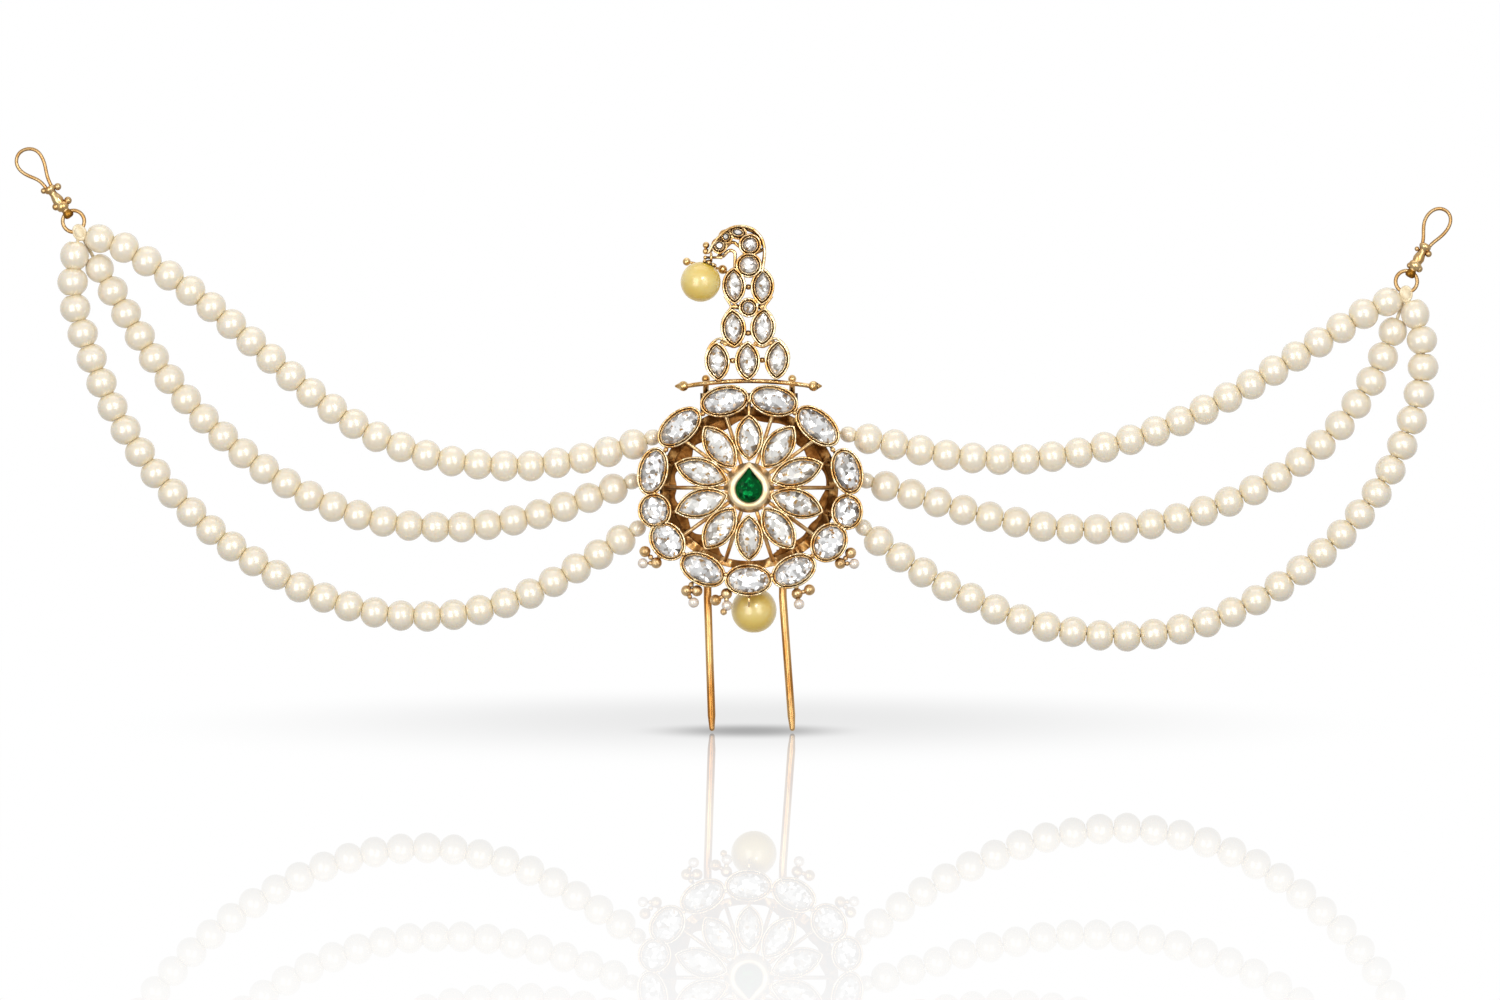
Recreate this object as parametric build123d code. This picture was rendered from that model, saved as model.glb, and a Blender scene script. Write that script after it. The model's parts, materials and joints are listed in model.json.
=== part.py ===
from build123d import *
import math
import os

# A turban ornament: an openwork stone-set medallion with a plume above it,
# a two-pronged fork behind it and three bead strands out to a hook each side.
# Millimetres. +X is the wearer's left, +Z is up and the front faces -Y. The
# origin lies midway between the fork's prongs, level with the lower rim.

os.makedirs("parts", exist_ok=True)

# Medallion: places
MEDALLION_Z = 20.9
GALLERY_IN_X, GALLERY_IN_Z = 16.3, 14.9
GALLERY_WIDE_X, GALLERY_WIDE_Z = 1.9, 1.7
GALLERY_DEPTH = 1.9
RIM_RADIUS = 19.0
PETAL_RADIUS = 10.2
PETAL_COUNT = 10

# Medallion: stones
OUTER_LENGTH, OUTER_WIDTH = 8.4, 4.9
PETAL_LENGTH, PETAL_WIDTH = 8.6, 4.4
CENTRE_ROUND, CENTRE_TIP = 2.7, 4.4
BEZEL_ROUND, BEZEL_TIP = 4.3, 5.7
CENTRE_DROP = 0.3

# Depths along Y, from the fork's plane at 0 forward
PRONG_RADIUS = 0.8
SLEEVE_WALL = 0.45
SOLDER_BITE = 0.2
PIN_CLEARANCE = 0.06
SLEEVE_RADIUS = PRONG_RADIUS + PIN_CLEARANCE + SLEEVE_WALL
GALLERY_BACK = -(SLEEVE_RADIUS - SOLDER_BITE)
GALLERY_FRONT = GALLERY_BACK - GALLERY_DEPTH
CUP_STEP = 0.2
CUP_DEPTH = 3.7
CUP_BACK = GALLERY_BACK - CUP_STEP
CUP_FRONT = CUP_BACK - CUP_DEPTH
PETAL_RISE = 2.4
PETAL_DEPTH = 2.6
PETAL_BACK = CUP_BACK - PETAL_RISE
PETAL_FRONT = PETAL_BACK - PETAL_DEPTH
BEZEL_DEPTH = 4.4
BEZEL_BACK = PETAL_BACK + 0.6
BEZEL_FRONT = BEZEL_BACK - BEZEL_DEPTH
BEZEL_CHAMFER = 0.6
FLANGE = 0.8
FLANGE_BITE = 0.4

# A collet: strip that holds the stone, groove, then the outer rim wire
SEAT_FIT = 0.06
STRIP = 0.2
GROOVE = 0.14
RIM_WIRE = 0.28
PLUME_RIM_WIRE = 0.46
FLOOR = 0.35
GROOVE_DROP = 0.75
RIM_DROP = 0.35

# A cut stone
GIRDLE_DROP = 0.35
GIRDLE = 0.2
CROWN = 0.75
TABLE_SHARE = 0.56
STAR_SHARE, STAR_HEIGHT = 0.8, 0.58
CULET_SHARE = 0.14
LOWER_SHARE, LOWER_DEPTH = 0.5, 0.62
BACK_CLEARANCE = 0.06
CUTS = 8

# Wires and solder
SPOKE_RADIUS = 0.42
SPUR_RADIUS = 0.36
GRANULE = 0.5
TIP_STUD_RADIUS = 0.42
TIE_RADIUS = 0.3
TIE_BITE = 0.3
TIE_Y = CUP_BACK - 1.2

# Fork
PRONG_LEFT_X, PRONG_RIGHT_X = -8.45, 6.9
TIP_LEFT_X, TIP_RIGHT_X = -7.64, 8.65
PRONG_KNEE_Z = -1.5
FORK_TOP_Z = 12.5
FORK_TIP_Z = -25.6
FORK_BEND = 3.0
KNEE_BEND = 20.0
TIP_LENGTH = 2.6
TIP_END = 0.55
SLEEVE_LENGTH = 3.6

# Plume
PLUME_DEPTH = 2.6
PLUME_BACK = -1.7
PLUME_FRONT = PLUME_BACK - PLUME_DEPTH
PLUME_MID = PLUME_BACK - PLUME_DEPTH / 2
PLUME_LENGTH, PLUME_WIDTH = 6.0, 3.4
CURL_WIRE = 0.36
LINK_WIRE = 0.3

# Crossbar with its finials, and the feet behind it
BAR_RADIUS = 0.47
BAR_LEFT_X, BAR_RIGHT_X = -12.85, 12.6
BAR_END_Z = 41.6
BAR_BOW = 1.05
FINIAL_BALL = 1.05
FINIAL_LENGTH = 1.2
FINIAL_TIP = 0.15
FOOT_X = 8.8
FOOT_RADIUS = 0.6
FOOT_BALL = 0.85
FOOT_TOP_Z = 43.1
SOCKET_WALL = 0.5
SOCKET_BOTTOM_Z, SOCKET_TOP_Z = 36.3, 40.2
FOOT_DEPTH = 3.2
SOCKET_RADIUS = FOOT_RADIUS + PIN_CLEARANCE + SOCKET_WALL
FOOT_Y = CUP_BACK + SOCKET_RADIUS - SOLDER_BITE

# Yellow pearl drops
DROP_EYE = 0.7
DROP_WIRE = 0.28
PEG_RADIUS = 0.3
PEG_CLEARANCE = 0.08
CAP_RADIUS = 1.25
CAP_HEIGHT = 0.7
CAP_GAP = 0.08
PEG_SHARE = 0.55
LOW_PEARL_RADIUS = 4.65
LOW_PEARL_X, LOW_PEARL_Y, LOW_PEARL_Z = 1.0, 3.2, -4.1
LOW_PIN_RISE = 6.2
LOW_STAPLE_HALF = 0.95
LINK_RADIUS = 1.15
LINK_THICK = 0.25
TOP_PEARL_RADIUS = 4.15
TOP_PEARL_X, TOP_PEARL_Y, TOP_PEARL_Z = -9.85, -4.75, 62.8
TOP_EYE_SIDE, TOP_EYE_RISE = 2.15, 4.95
PIN_LEFT_X, PIN_RIGHT_X = -8.9, -5.7
PIN_RADIUS = 0.28
PIN_HEAD = 0.42
STALK_LEFT = (-12.7, -1.6, 67.0)
STALK_RIGHT = (-5.4, -1.9, 65.4)
STALK_FOOT = (-3.9, -3.0, 64.2)
STALK_RADIUS = 0.28
STALK_BALL = 0.82
STALK_END_BALL = 0.95

# Little clusters round the lower rim
CLUSTER_BALL = 1.15
CLUSTER_WIRE = 0.3
SEED_RADIUS = 1.1
SEED_PEG = 0.22
SEED_GAP = 0.08
CLUSTER_Y = -2.6
CLUSTER_STEP = 0.2
CLUSTER_SEAM = 247

# Strands
STRAND_Y = 0.5
BEAD_RADIUS = 2.95
BEAD_LENGTH = 5.0
BEAD_EDGE = 0.4
BEAD_PITCH = 5.34
MIDDLE_BEHIND = 1.7
SMALL_RADIUS = 1.65
SMALL_LENGTH = 2.9
SMALL_EDGE = 0.1
SMALL_GAP = 0.2
THREAD_RADIUS = 0.35
BEAD_BORE = 0.6
POST_RADIUS = 0.95
POST_PROUD = 0.95
THREAD_FIT = 0.08
ARC_SHARE = 0.45

# Ends: knot, split ring, fitting and hook
RING_RADIUS = 2.2
RING_WIRE = 0.4
RING_FIT = 0.1
KNOT_RADIUS = 1.3
KNOT_PROUD = 0.4
HOOK_WIRE = 0.37
HOOK_NECK = 0.62
FITTING_BALL = 1.05
FITTING_LENGTH = 6.6
COLLAR_RADIUS, COLLAR_HEIGHT = 1.3, 0.7
SHANK_RADIUS = 0.75
SWELL_RADIUS = 1.0

# Round the rim, clockwise from the top right: polar angle about the centre,
# share of RIM_RADIUS, shares of OUTER_LENGTH and OUTER_WIDTH, and the turn of
# the long axis away from the tangent
RIM_STONES = [
    # angle, radius, length, width, turn
    (74.1, 0.968, 1.02, 0.99, 3.9),
    (42.0, 0.987, 1.09, 0.99, 7.0),
    (9.5, 1.065, 0.97, 1.01, 6.5),
    (-13.8, 1.082, 0.70, 1.02, 14.0),
    (-34.4, 1.038, 0.84, 1.17, -0.6),
    (-61.7, 1.012, 0.97, 1.04, -2.3),
    (-90.3, 0.989, 0.98, 1.05, 0.3),
    (-119.6, 1.006, 1.00, 1.01, 2.6),
    (-146.9, 1.045, 0.84, 1.11, 1.9),
    (-166.3, 1.040, 0.69, 1.09, 0.0),
    (170.4, 1.046, 1.01, 0.96, -3.4),
    (139.0, 0.987, 1.07, 0.99, -8.0),
    (105.8, 0.965, 1.02, 0.99, -3.8),
]

# Petals counterclockwise from the top: shares of PETAL_LENGTH and PETAL_WIDTH
PETAL_SHARES = [
    # length, width
    (0.92, 0.98),
    (1.04, 1.02),
    (1.12, 1.00),
    (1.12, 1.03),
    (1.02, 1.04),
    (0.92, 0.98),
    (1.02, 1.04),
    (1.12, 1.03),
    (1.12, 1.00),
    (1.04, 1.02),
]

# Plume collets from the crossbar up: kind, place, shares of PLUME_LENGTH and
# PLUME_WIDTH, and lean from upright
PLUME_STONES = [
    # kind, x, z, length, width, lean
    ("marquise", -6.45, 46.6, 1.04, 1.00, 4.0),
    ("marquise", -0.30, 46.7, 1.04, 1.00, 0.0),
    ("marquise", 5.75, 46.9, 1.04, 1.00, -4.0),
    ("marquise", -3.20, 53.35, 1.00, 1.01, 4.0),
    ("marquise", 2.85, 53.55, 1.00, 1.01, -4.0),
    ("oval", -0.10, 57.6, 0.38, 0.68, 0.0),
    ("marquise", -3.05, 62.0, 0.95, 0.91, 2.0),
    ("marquise", 2.75, 61.85, 0.95, 0.91, -2.0),
    ("oval", -0.05, 66.2, 0.56, 1.06, 0.0),
    ("oval", 0.20, 70.4, 0.47, 0.86, 0.0),
    ("oval", -2.30, 72.9, 0.20, 0.60, -12.0),
    ("oval", -4.75, 72.0, 0.22, 0.38, 0.0),
    ("oval", -6.05, 70.2, 0.27, 0.48, 30.0),
]
LINK_BARS = [
    # left x, right x, z
    (-4.6, -2.0, 46.8),
    (1.5, 3.9, 46.9),
    (-1.6, 1.2, 52.4),
    (-1.4, 1.1, 61.8),
]
SOLDER_SPOTS = [
    # x, z
    (-4.85, 50.2),
    (-1.75, 50.2),
    (1.35, 50.2),
    (4.35, 50.4),
    (-2.85, 57.75),
    (-3.3, 57.75),
    (2.65, 57.75),
    (3.05, 57.75),
    (-2.0, 65.0),
    (1.95, 65.0),
    (0.1, 68.35),
]
OUTER_CURL = [
    # x, z
    (2.55, 64.9),
    (3.0, 67.4),
    (3.05, 69.9),
    (2.2, 71.85),
    (0.6, 73.15),
    (-1.45, 73.72),
    (-3.5, 73.35),
    (-5.5, 72.05),
    (-7.2, 70.05),
    (-8.1, 68.7),
]
WAVE_WIRE = [
    (3.2, 69.6),
    (0.3, 68.2),
    (-3.4, 71.2),
    (-5.3, 69.3),
    (-6.3, 67.9),
]
INNER_WIRE = [
    (-2.9, 65.2),
    (-2.8, 69.3),
    (-4.2, 69.2),
    (-5.4, 67.9),
]
WIRE_BENDS = 0.9
LEFT_SADDLE = [
    (-5.9, 50.7),
    (-4.4, 50.1),
    (-3.1, 49.6),
    (-1.9, 50.05),
]
RIGHT_SADDLE = [
    (1.4, 50.05),
    (2.8, 49.6),
    (4.1, 50.2),
    (5.3, 50.75),
]
SADDLE_STEP = 0.6
CURL_END = (-8.1, 68.7)
CURL_BEADS = [
    # x, z, radius
    (-8.8, 69.05, 0.65),
    (-8.75, 70.3, 0.7),
]

# Clusters: polar angle of the collet that carries them, then the places of
# two balls and one small pearl about the medallion's centre
CLUSTERS = [
    # collet angle, ball 1, ball 2, pearl
    (-146.9, (-18.9, -15.3), (-21.2, -13.0), (-21.6, -15.4)),
    (-119.6, (-12.7, -21.0), (-10.6, -21.0), (-11.3, -23.4)),
    (-90.3, (-4.6, -21.6), (-6.8, -22.9), (-4.5, -24.0)),
    (-61.7, (9.8, -21.6), (12.3, -20.8), (10.2, -23.7)),
    (-34.4, (18.6, -15.4), (20.7, -13.3), (21.4, -15.5)),
]

# Strands: side, route of chosen points from the knot to the post behind the
# medallion, bare thread at the knot, and from the post to the small bead
STRAND_ROUTES = {
    "left_upper_strand": [
        (-128.0, 70.4), (-114.3, 61.6), (-102.7, 51.8), (-90.0, 40.5), (-77.1, 31.3),
        (-62.4, 26.2), (-45.7, 25.0), (-33.7, 26.8), (-22.9, 29.9), (-16.5, 32.4)],
    "left_middle_strand": [
        (-132.6, 65.5), (-126.6, 55.3), (-120.4, 45.4), (-111.8, 35.1), (-99.6, 24.7),
        (-86.3, 17.1), (-71.6, 13.0), (-55.5, 12.7), (-41.2, 15.7), (-27.1, 20.9),
        (-18.2, 24.5)],
    "left_lower_strand": [
        (-138.2, 66.0), (-137.9, 58.0), (-135.1, 49.6), (-130.0, 36.9), (-121.0, 23.0),
        (-107.6, 9.8), (-91.4, 0.0), (-76.7, -5.0), (-60.6, -5.6), (-45.1, -1.4),
        (-30.6, 7.2), (-16.5, 16.9)],
    "right_upper_strand": [
        (127.5, 57.7), (116.3, 50.6), (100.4, 40.6), (85.9, 33.3), (70.8, 28.4),
        (54.5, 26.3), (40.4, 27.4), (29.2, 29.8), (15.6, 32.8)],
    "right_middle_strand": [
        (131.3, 51.9), (127.8, 43.4), (120.2, 32.4), (109.4, 23.5), (96.5, 17.1),
        (81.2, 12.9), (64.3, 12.1), (46.9, 15.3), (32.4, 19.9), (18.6, 23.9)],
    "right_lower_strand": [
        (136.9, 54.5), (137.9, 47.1), (136.6, 38.7), (133.9, 30.5), (128.9, 20.4),
        (120.4, 10.4),
        (107.6, -0.2), (92.7, -7.3), (76.5, -10.0), (57.1, -7.2), (38.2, 1.7),
        (27.0, 9.3), (18.3, 17.6)],
}
STRAND_ENDS = {
    # side, how far behind the others, bare thread at the knot, post to small bead
    "left_upper_strand": ("left", 0.0, 0.4, 3.4),
    "left_middle_strand": ("left", 1.0, 5.5, 6.1),
    "left_lower_strand": ("left", 0.0, 0.95, 7.6),
    "right_upper_strand": ("right", 0.0, 0.2, 4.8),
    "right_middle_strand": ("right", 1.0, 5.2, 5.5),
    "right_lower_strand": ("right", 0.0, 0.6, 7.0),
}
END_SETS = {
    # ring x, ring z, angle to the knot, angle to the hook, reach to the loop, loop radius
    "left": (-137.9, 75.3, -62.0, 126.5, 15.3, 2.62),
    "right": (134.2, 63.0, -93.0, 61.8, 14.2, 2.5),
}


# Helpers
def polar(radius, angle):
    return radius * math.cos(math.radians(angle)), radius * math.sin(math.radians(angle))


def slab(sketch, back, front):
    plane = Plane(origin=(0, back, 0), x_dir=(1, 0, 0), z_dir=(0, -1, 0))
    return extrude(plane * sketch, amount=back - front)


def placed(sketch, x, z, turn):
    return Pos(x, z) * Rot(0, 0, turn) * sketch


def rod(start, end, radius):
    start, end = Vector(*start), Vector(*end)
    length = (end - start).length
    low = (Align.CENTER, Align.CENTER, Align.MIN)
    return Plane(origin=start, z_dir=end - start) * Cylinder(radius, length, align=low)


def ball(x, y, z, radius):
    return Pos(x, y, z) * Sphere(radius)


def along(path, radius):
    return sweep(Plane(origin=path @ 0, z_dir=path % 0) * Circle(radius), path=path)


def bent_wire(points, y, radius, bend):
    path = FilletPolyline(*[(x, y, z) for x, z in points], radius=bend)
    return along(path, radius)


def drilled(shape, start, end, radius):
    return shape - rod(start, end, radius)


def save(shape, name):
    solids = list(shape.solids())
    export_step(solids[0] if len(solids) == 1 else Compound(children=solids), f"parts/{name}.step")
    print(name, len(solids), "solids", round(sum(s.volume for s in solids), 2), "mm3")


# Outlines, each a sketch grown all round by extra
def oval(length, width, extra):
    return Ellipse(length / 2 + extra, width / 2 + extra)


def marquise_half(length, width, extra):
    half, deep = length / 2, width / 2
    radius = (half**2 + deep**2) / (2 * deep)
    return math.sqrt((radius + extra) ** 2 - (radius - deep) ** 2), deep + extra


def marquise(length, width, extra):
    half, deep = marquise_half(length, width, extra)
    upper = ThreePointArc((half, 0), (0, deep), (-half, 0))
    lower = ThreePointArc((-half, 0), (0, -deep), (half, 0))
    return make_face(Curve() + [upper, lower])


def drop(round_radius, tip, extra):
    radius = round_radius + extra
    height = tip + extra * tip / round_radius
    touch = math.asin(radius / height)
    side, rise = radius * math.cos(touch), radius * math.sin(touch)
    belly = ThreePointArc((side, rise), (0, -radius), (-side, rise))
    return make_face(Curve() + [belly, Line((-side, rise), (0, height)), Line((0, height), (side, rise))])


OUTLINES = {"oval": oval, "marquise": marquise, "drop": drop}


# Points round an outline, for a stone's facets
def oval_point(length, width, share):
    turn = 2 * math.pi * share
    return length / 2 * math.cos(turn), width / 2 * math.sin(turn)


def marquise_point(length, width, share):
    half, deep = length / 2, width / 2
    radius = (half**2 + deep**2) / (2 * deep)
    reach = math.asin(half / radius)
    side = 1 if share < 0.5 else -1
    step = (share % 0.5) * 2
    angle = reach * (1 - 2 * step)
    return side * radius * math.sin(angle), side * (radius * math.cos(angle) - (radius - deep))


def drop_point(round_radius, tip, share):
    touch = math.asin(round_radius / tip)
    flat = tip * math.cos(touch)
    belly = round_radius * (math.pi + 2 * touch)
    walk = share * (belly + 2 * flat)
    if walk < flat:
        x, z = round_radius * math.cos(touch), round_radius * math.sin(touch)
        return -x * walk / flat, tip + (z - tip) * walk / flat
    if walk > flat + belly:
        x, z = drop_point(round_radius, tip, 1 - share)
        return -x, z
    angle = math.pi - touch + (walk - flat) / round_radius
    return round_radius * math.cos(angle), round_radius * math.sin(angle)


POINTS = {"oval": oval_point, "marquise": marquise_point, "drop": drop_point}


# A cut stone: table, stars, kites and halves in front, the same fan behind
def cut_stone(kind, length, width, x, z, turn, girdle_front, culet_y):
    cos, sin = math.cos(math.radians(turn)), math.sin(math.radians(turn))
    girdle_back = girdle_front + GIRDLE

    def corner(step, share, y):
        u, v = POINTS[kind](length, width, (step / (2 * CUTS)) % 1.0)
        u, v = u * share, v * share
        return (x + u * cos - v * sin, y, z + u * sin + v * cos)

    def fan(edge_y, mid_share, mid_height, end_share, end_y):
        mid_y = edge_y + (end_y - edge_y) * mid_height
        sides = []
        for cut in range(CUTS):
            at = 2 * cut
            edge = [corner(at + k, 1, edge_y) for k in range(3)]
            mid = [corner(at + k, mid_share, mid_y) for k in (-1, 1, 3)]
            end = [corner(at + k, end_share, end_y) for k in (0, 2)]
            sides.append([edge[0], edge[1], mid[1]])
            sides.append([edge[1], edge[2], mid[1]])
            sides.append([end[0], mid[1], end[1]])
            sides.append([end[0], mid[0], edge[0]])
            sides.append([end[0], edge[0], mid[1]])
        sides.append([corner(2 * cut, end_share, end_y) for cut in range(CUTS)])
        return sides

    facets = fan(girdle_front, STAR_SHARE, STAR_HEIGHT, TABLE_SHARE, girdle_front - CROWN)
    facets += fan(girdle_back, LOWER_SHARE, LOWER_DEPTH, CULET_SHARE, culet_y)
    for step in range(2 * CUTS):
        facets.append([corner(step, 1, girdle_front), corner(step + 1, 1, girdle_front),
                       corner(step + 1, 1, girdle_back), corner(step, 1, girdle_back)])
    faces = [Face(Wire.make_polygon([Vector(*p) for p in facet], close=True)) for facet in facets]
    stone = Solid(Shell(faces))
    return stone if stone.volume > 0 else Solid(stone.wrapped.Reversed())


# A closed collet: cup, holding strip and rim wire; its seat is cut once all is soldered
def collet(kind, length, width, x, z, turn, back, front, rim_wire):
    strip = SEAT_FIT + STRIP
    groove = strip + GROOVE
    rim = groove + rim_wire

    def layer(extra, far, near):
        return slab(placed(OUTLINES[kind](length, width, extra), x, z, turn), far, near)

    groove_y = front + GROOVE_DROP
    cup = layer(rim, back, groove_y)
    wire = layer(rim, groove_y, front + RIM_DROP) - layer(groove, groove_y, front + RIM_DROP)
    return cup + wire + layer(strip, groove_y, front)


def seat(kind, length, width, x, z, turn, back, front):
    return slab(placed(OUTLINES[kind](length, width, SEAT_FIT), x, z, turn), back - FLOOR, front - CROWN)


def soldered(groups, seats):
    frame = Part()
    for group in groups:
        frame += group
    for hole in seats:
        frame -= hole
    return frame


def stone_in(kind, length, width, x, z, turn, back, front):
    return cut_stone(kind, length, width, x, z, turn, front + GIRDLE_DROP,
                     back - FLOOR - BACK_CLEARANCE)


# Rim and petal layouts, shared by collets and stones
def rim_layout():
    rows = []
    for angle, radius, length, width, turn in RIM_STONES:
        x, z = polar(RIM_RADIUS * radius, angle)
        rows.append(("oval", OUTER_LENGTH * length, OUTER_WIDTH * width,
                     x, MEDALLION_Z + z, angle - 90 + turn))
    return rows


def petal_layout():
    rows = []
    for index, (length, width) in enumerate(PETAL_SHARES):
        angle = 90 + index * 360 / PETAL_COUNT
        x, z = polar(PETAL_RADIUS, angle)
        rows.append(("marquise", PETAL_LENGTH * length, PETAL_WIDTH * width,
                     x, MEDALLION_Z + z, angle))
    return rows


def plume_layout():
    rows = []
    for kind, x, z, length, width, lean in PLUME_STONES:
        rows.append((kind, PLUME_LENGTH * length, PLUME_WIDTH * width, x, z, 90 + lean))
    return rows


def gallery_point(angle, inward):
    wide = GALLERY_IN_X + GALLERY_WIDE_X * inward
    high = GALLERY_IN_Z + GALLERY_WIDE_Z * inward
    turn = math.radians(angle)
    radius = 1 / math.hypot(math.cos(turn) / wide, math.sin(turn) / high)
    return polar(radius, angle)


# Medallion: one soldered solid
def medallion():
    outer = Ellipse(GALLERY_IN_X + GALLERY_WIDE_X, GALLERY_IN_Z + GALLERY_WIDE_Z)
    band = Pos(0, MEDALLION_Z) * (outer - Ellipse(GALLERY_IN_X, GALLERY_IN_Z))
    rim = [collet(*row, CUP_BACK, CUP_FRONT, RIM_WIRE) for row in rim_layout()]
    petals = [collet(*row, PETAL_BACK, PETAL_FRONT, RIM_WIRE) for row in petal_layout()]
    groups = [[slab(band, GALLERY_BACK, GALLERY_FRONT)], rim, petals, bezel(), spokes_and_spurs(),
              granules(), sleeves(), sockets(), thread_posts(), low_pearl_staple(), cluster_balls()]
    seats = [seat(*row, CUP_BACK, CUP_FRONT) for row in rim_layout()]
    seats += [seat(*row, PETAL_BACK, PETAL_FRONT) for row in petal_layout()]
    seats.append(seat("drop", CENTRE_ROUND, CENTRE_TIP, 0, MEDALLION_Z - CENTRE_DROP, 0,
                      BEZEL_BACK, BEZEL_FRONT))
    frame = soldered(groups, seats)
    for side_x in (PRONG_LEFT_X, PRONG_RIGHT_X):
        z = sleeve_middle(side_x)
        frame = drilled(frame, (side_x, 0, z - SLEEVE_LENGTH), (side_x, 0, z + SLEEVE_LENGTH),
                        PRONG_RADIUS + PIN_CLEARANCE)
    for x in (-FOOT_X, FOOT_X):
        floor_z = SOCKET_TOP_Z - FOOT_DEPTH - PIN_CLEARANCE
        frame = drilled(frame, (x, FOOT_Y, floor_z), (x, FOOT_Y, SOCKET_TOP_Z + 1),
                        FOOT_RADIUS + PIN_CLEARANCE)
    for name, route in STRAND_ROUTES.items():
        (x0, z0), (x1, z1) = route[-2], route[-1]
        reach = POST_RADIUS * 2 / math.hypot(x0 - x1, z0 - z1)
        over = THREAD_FIT / math.hypot(x0 - x1, z0 - z1)
        y = strand_y(name)
        frame = drilled(frame, (x1 - (x0 - x1) * over, y, z1 - (z0 - z1) * over),
                        (x1 + (x0 - x1) * reach, y, z1 + (z0 - z1) * reach),
                        THREAD_RADIUS + THREAD_FIT)
    return frame


def bezel():
    low = MEDALLION_Z - CENTRE_DROP
    body = slab(placed(drop(BEZEL_ROUND, BEZEL_TIP, 0), 0, low, 0), BEZEL_BACK, BEZEL_FRONT)
    body = chamfer(body.faces().sort_by(Axis.Y)[0].edges(), BEZEL_CHAMFER)
    flange = slab(Pos(0, MEDALLION_Z) * Circle(BEZEL_ROUND + FLANGE), BEZEL_BACK,
                  PETAL_BACK - FLANGE_BITE)
    return [flange + body]


def spokes_and_spurs():
    pieces = []
    spoke_y = PETAL_BACK + SPOKE_RADIUS - 0.1
    gallery_y = GALLERY_FRONT + SPOKE_RADIUS / 2
    for index in range(PETAL_COUNT):
        angle = 90 + (index + 0.5) * 360 / PETAL_COUNT
        x0, z0 = polar(BEZEL_ROUND - 0.8, angle)
        x1, z1 = gallery_point(angle, 0.5)
        pieces.append(rod((x0, spoke_y, MEDALLION_Z + z0), (x1, gallery_y, MEDALLION_Z + z1),
                          SPOKE_RADIUS))
    for index, row in enumerate(petal_layout()):
        angle = 90 + index * 360 / PETAL_COUNT
        tip = PETAL_RADIUS + row[1] / 2 - SPUR_RADIUS
        x0, z0 = polar(tip, angle)
        x1, z1 = gallery_point(angle, 0.5)
        pieces.append(rod((x0, PETAL_BACK - SPUR_RADIUS, MEDALLION_Z + z0),
                          (x1, gallery_y, MEDALLION_Z + z1), SPUR_RADIUS))
    top = MEDALLION_Z + PETAL_RADIUS + PETAL_LENGTH / 2
    pieces.append(rod((0, PETAL_BACK + 0.2, top), (0, CUP_FRONT + 1.2, SOCKET_TOP_Z), TIP_STUD_RADIUS))
    return pieces


def granules():
    pieces = []
    rows = rim_layout()
    for row, after in zip(rows, rows[1:] + rows[:1]):
        (x0, z0), (x1, z1) = edge_towards(row, after), edge_towards(after, row)
        x, z = (x0 + x1) / 2, (z0 + z1) / 2
        pieces.append(rod((x, CUP_BACK, z), (x, CUP_FRONT + RIM_DROP, z), GRANULE))
        pieces.append(ball(x, CUP_FRONT + RIM_DROP, z, GRANULE))
        apart = math.hypot(x1 - x0, z1 - z0) + 2 * TIE_BITE
        dx, dz = (row[3] - after[3]), (row[4] - after[4])
        reach = apart / 2 / math.hypot(dx, dz)
        pieces.append(rod((x - dx * reach, TIE_Y, z - dz * reach), (x + dx * reach, TIE_Y, z + dz * reach),
                          TIE_RADIUS))
    return pieces


def edge_towards(row, other):
    _, length, width, x, z, turn = row
    grown = SEAT_FIT + STRIP + GROOVE + RIM_WIRE
    angle = math.atan2(other[4] - z, other[3] - x)
    local = angle - math.radians(turn)
    reach = 1 / math.hypot(math.cos(local) / (length / 2 + grown), math.sin(local) / (width / 2 + grown))
    return x + reach * math.cos(angle), z + reach * math.sin(angle)


def sleeve_middle(side_x):
    share = side_x / (GALLERY_IN_X + GALLERY_WIDE_X / 2)
    return MEDALLION_Z - (GALLERY_IN_Z + GALLERY_WIDE_Z / 2) * math.sqrt(1 - share**2)


def sleeves():
    pieces = []
    for side_x in (PRONG_LEFT_X, PRONG_RIGHT_X):
        z = sleeve_middle(side_x)
        pieces.append(rod((side_x, 0, z - SLEEVE_LENGTH / 2), (side_x, 0, z + SLEEVE_LENGTH / 2),
                          SLEEVE_RADIUS))
    return pieces


def sockets():
    return [rod((x, FOOT_Y, SOCKET_BOTTOM_Z), (x, FOOT_Y, SOCKET_TOP_Z), SOCKET_RADIUS)
            for x in (-FOOT_X, FOOT_X)]


def thread_posts():
    return [rod((route[-1][0], CUP_BACK - SOLDER_BITE, route[-1][1]),
                (route[-1][0], strand_y(name) + POST_PROUD, route[-1][1]), POST_RADIUS)
            for name, route in STRAND_ROUTES.items()]


def low_pearl_staple():
    pin_z = LOW_PEARL_Z + LOW_PIN_RISE
    left, right = LOW_PEARL_X - LOW_STAPLE_HALF, LOW_PEARL_X + LOW_STAPLE_HALF
    path = FilletPolyline((left, CUP_BACK - SOLDER_BITE, pin_z), (left, LOW_PEARL_Y, pin_z),
                          (right, LOW_PEARL_Y, pin_z), (right, CUP_BACK - SOLDER_BITE, pin_z),
                          radius=0.35)
    low = min(z - width / 2 for _, _, width, _, z, _ in rim_layout())
    rim = SEAT_FIT + STRIP + GROOVE + RIM_WIRE
    link_z = low - rim - LINK_RADIUS + LINK_THICK
    link_y = CUP_BACK - CUP_DEPTH / 2
    link = Plane(origin=(0, link_y, link_z), z_dir=(1, 0, 0)) * Torus(LINK_RADIUS, LINK_THICK)
    return [along(path, DROP_WIRE), link]


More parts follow.
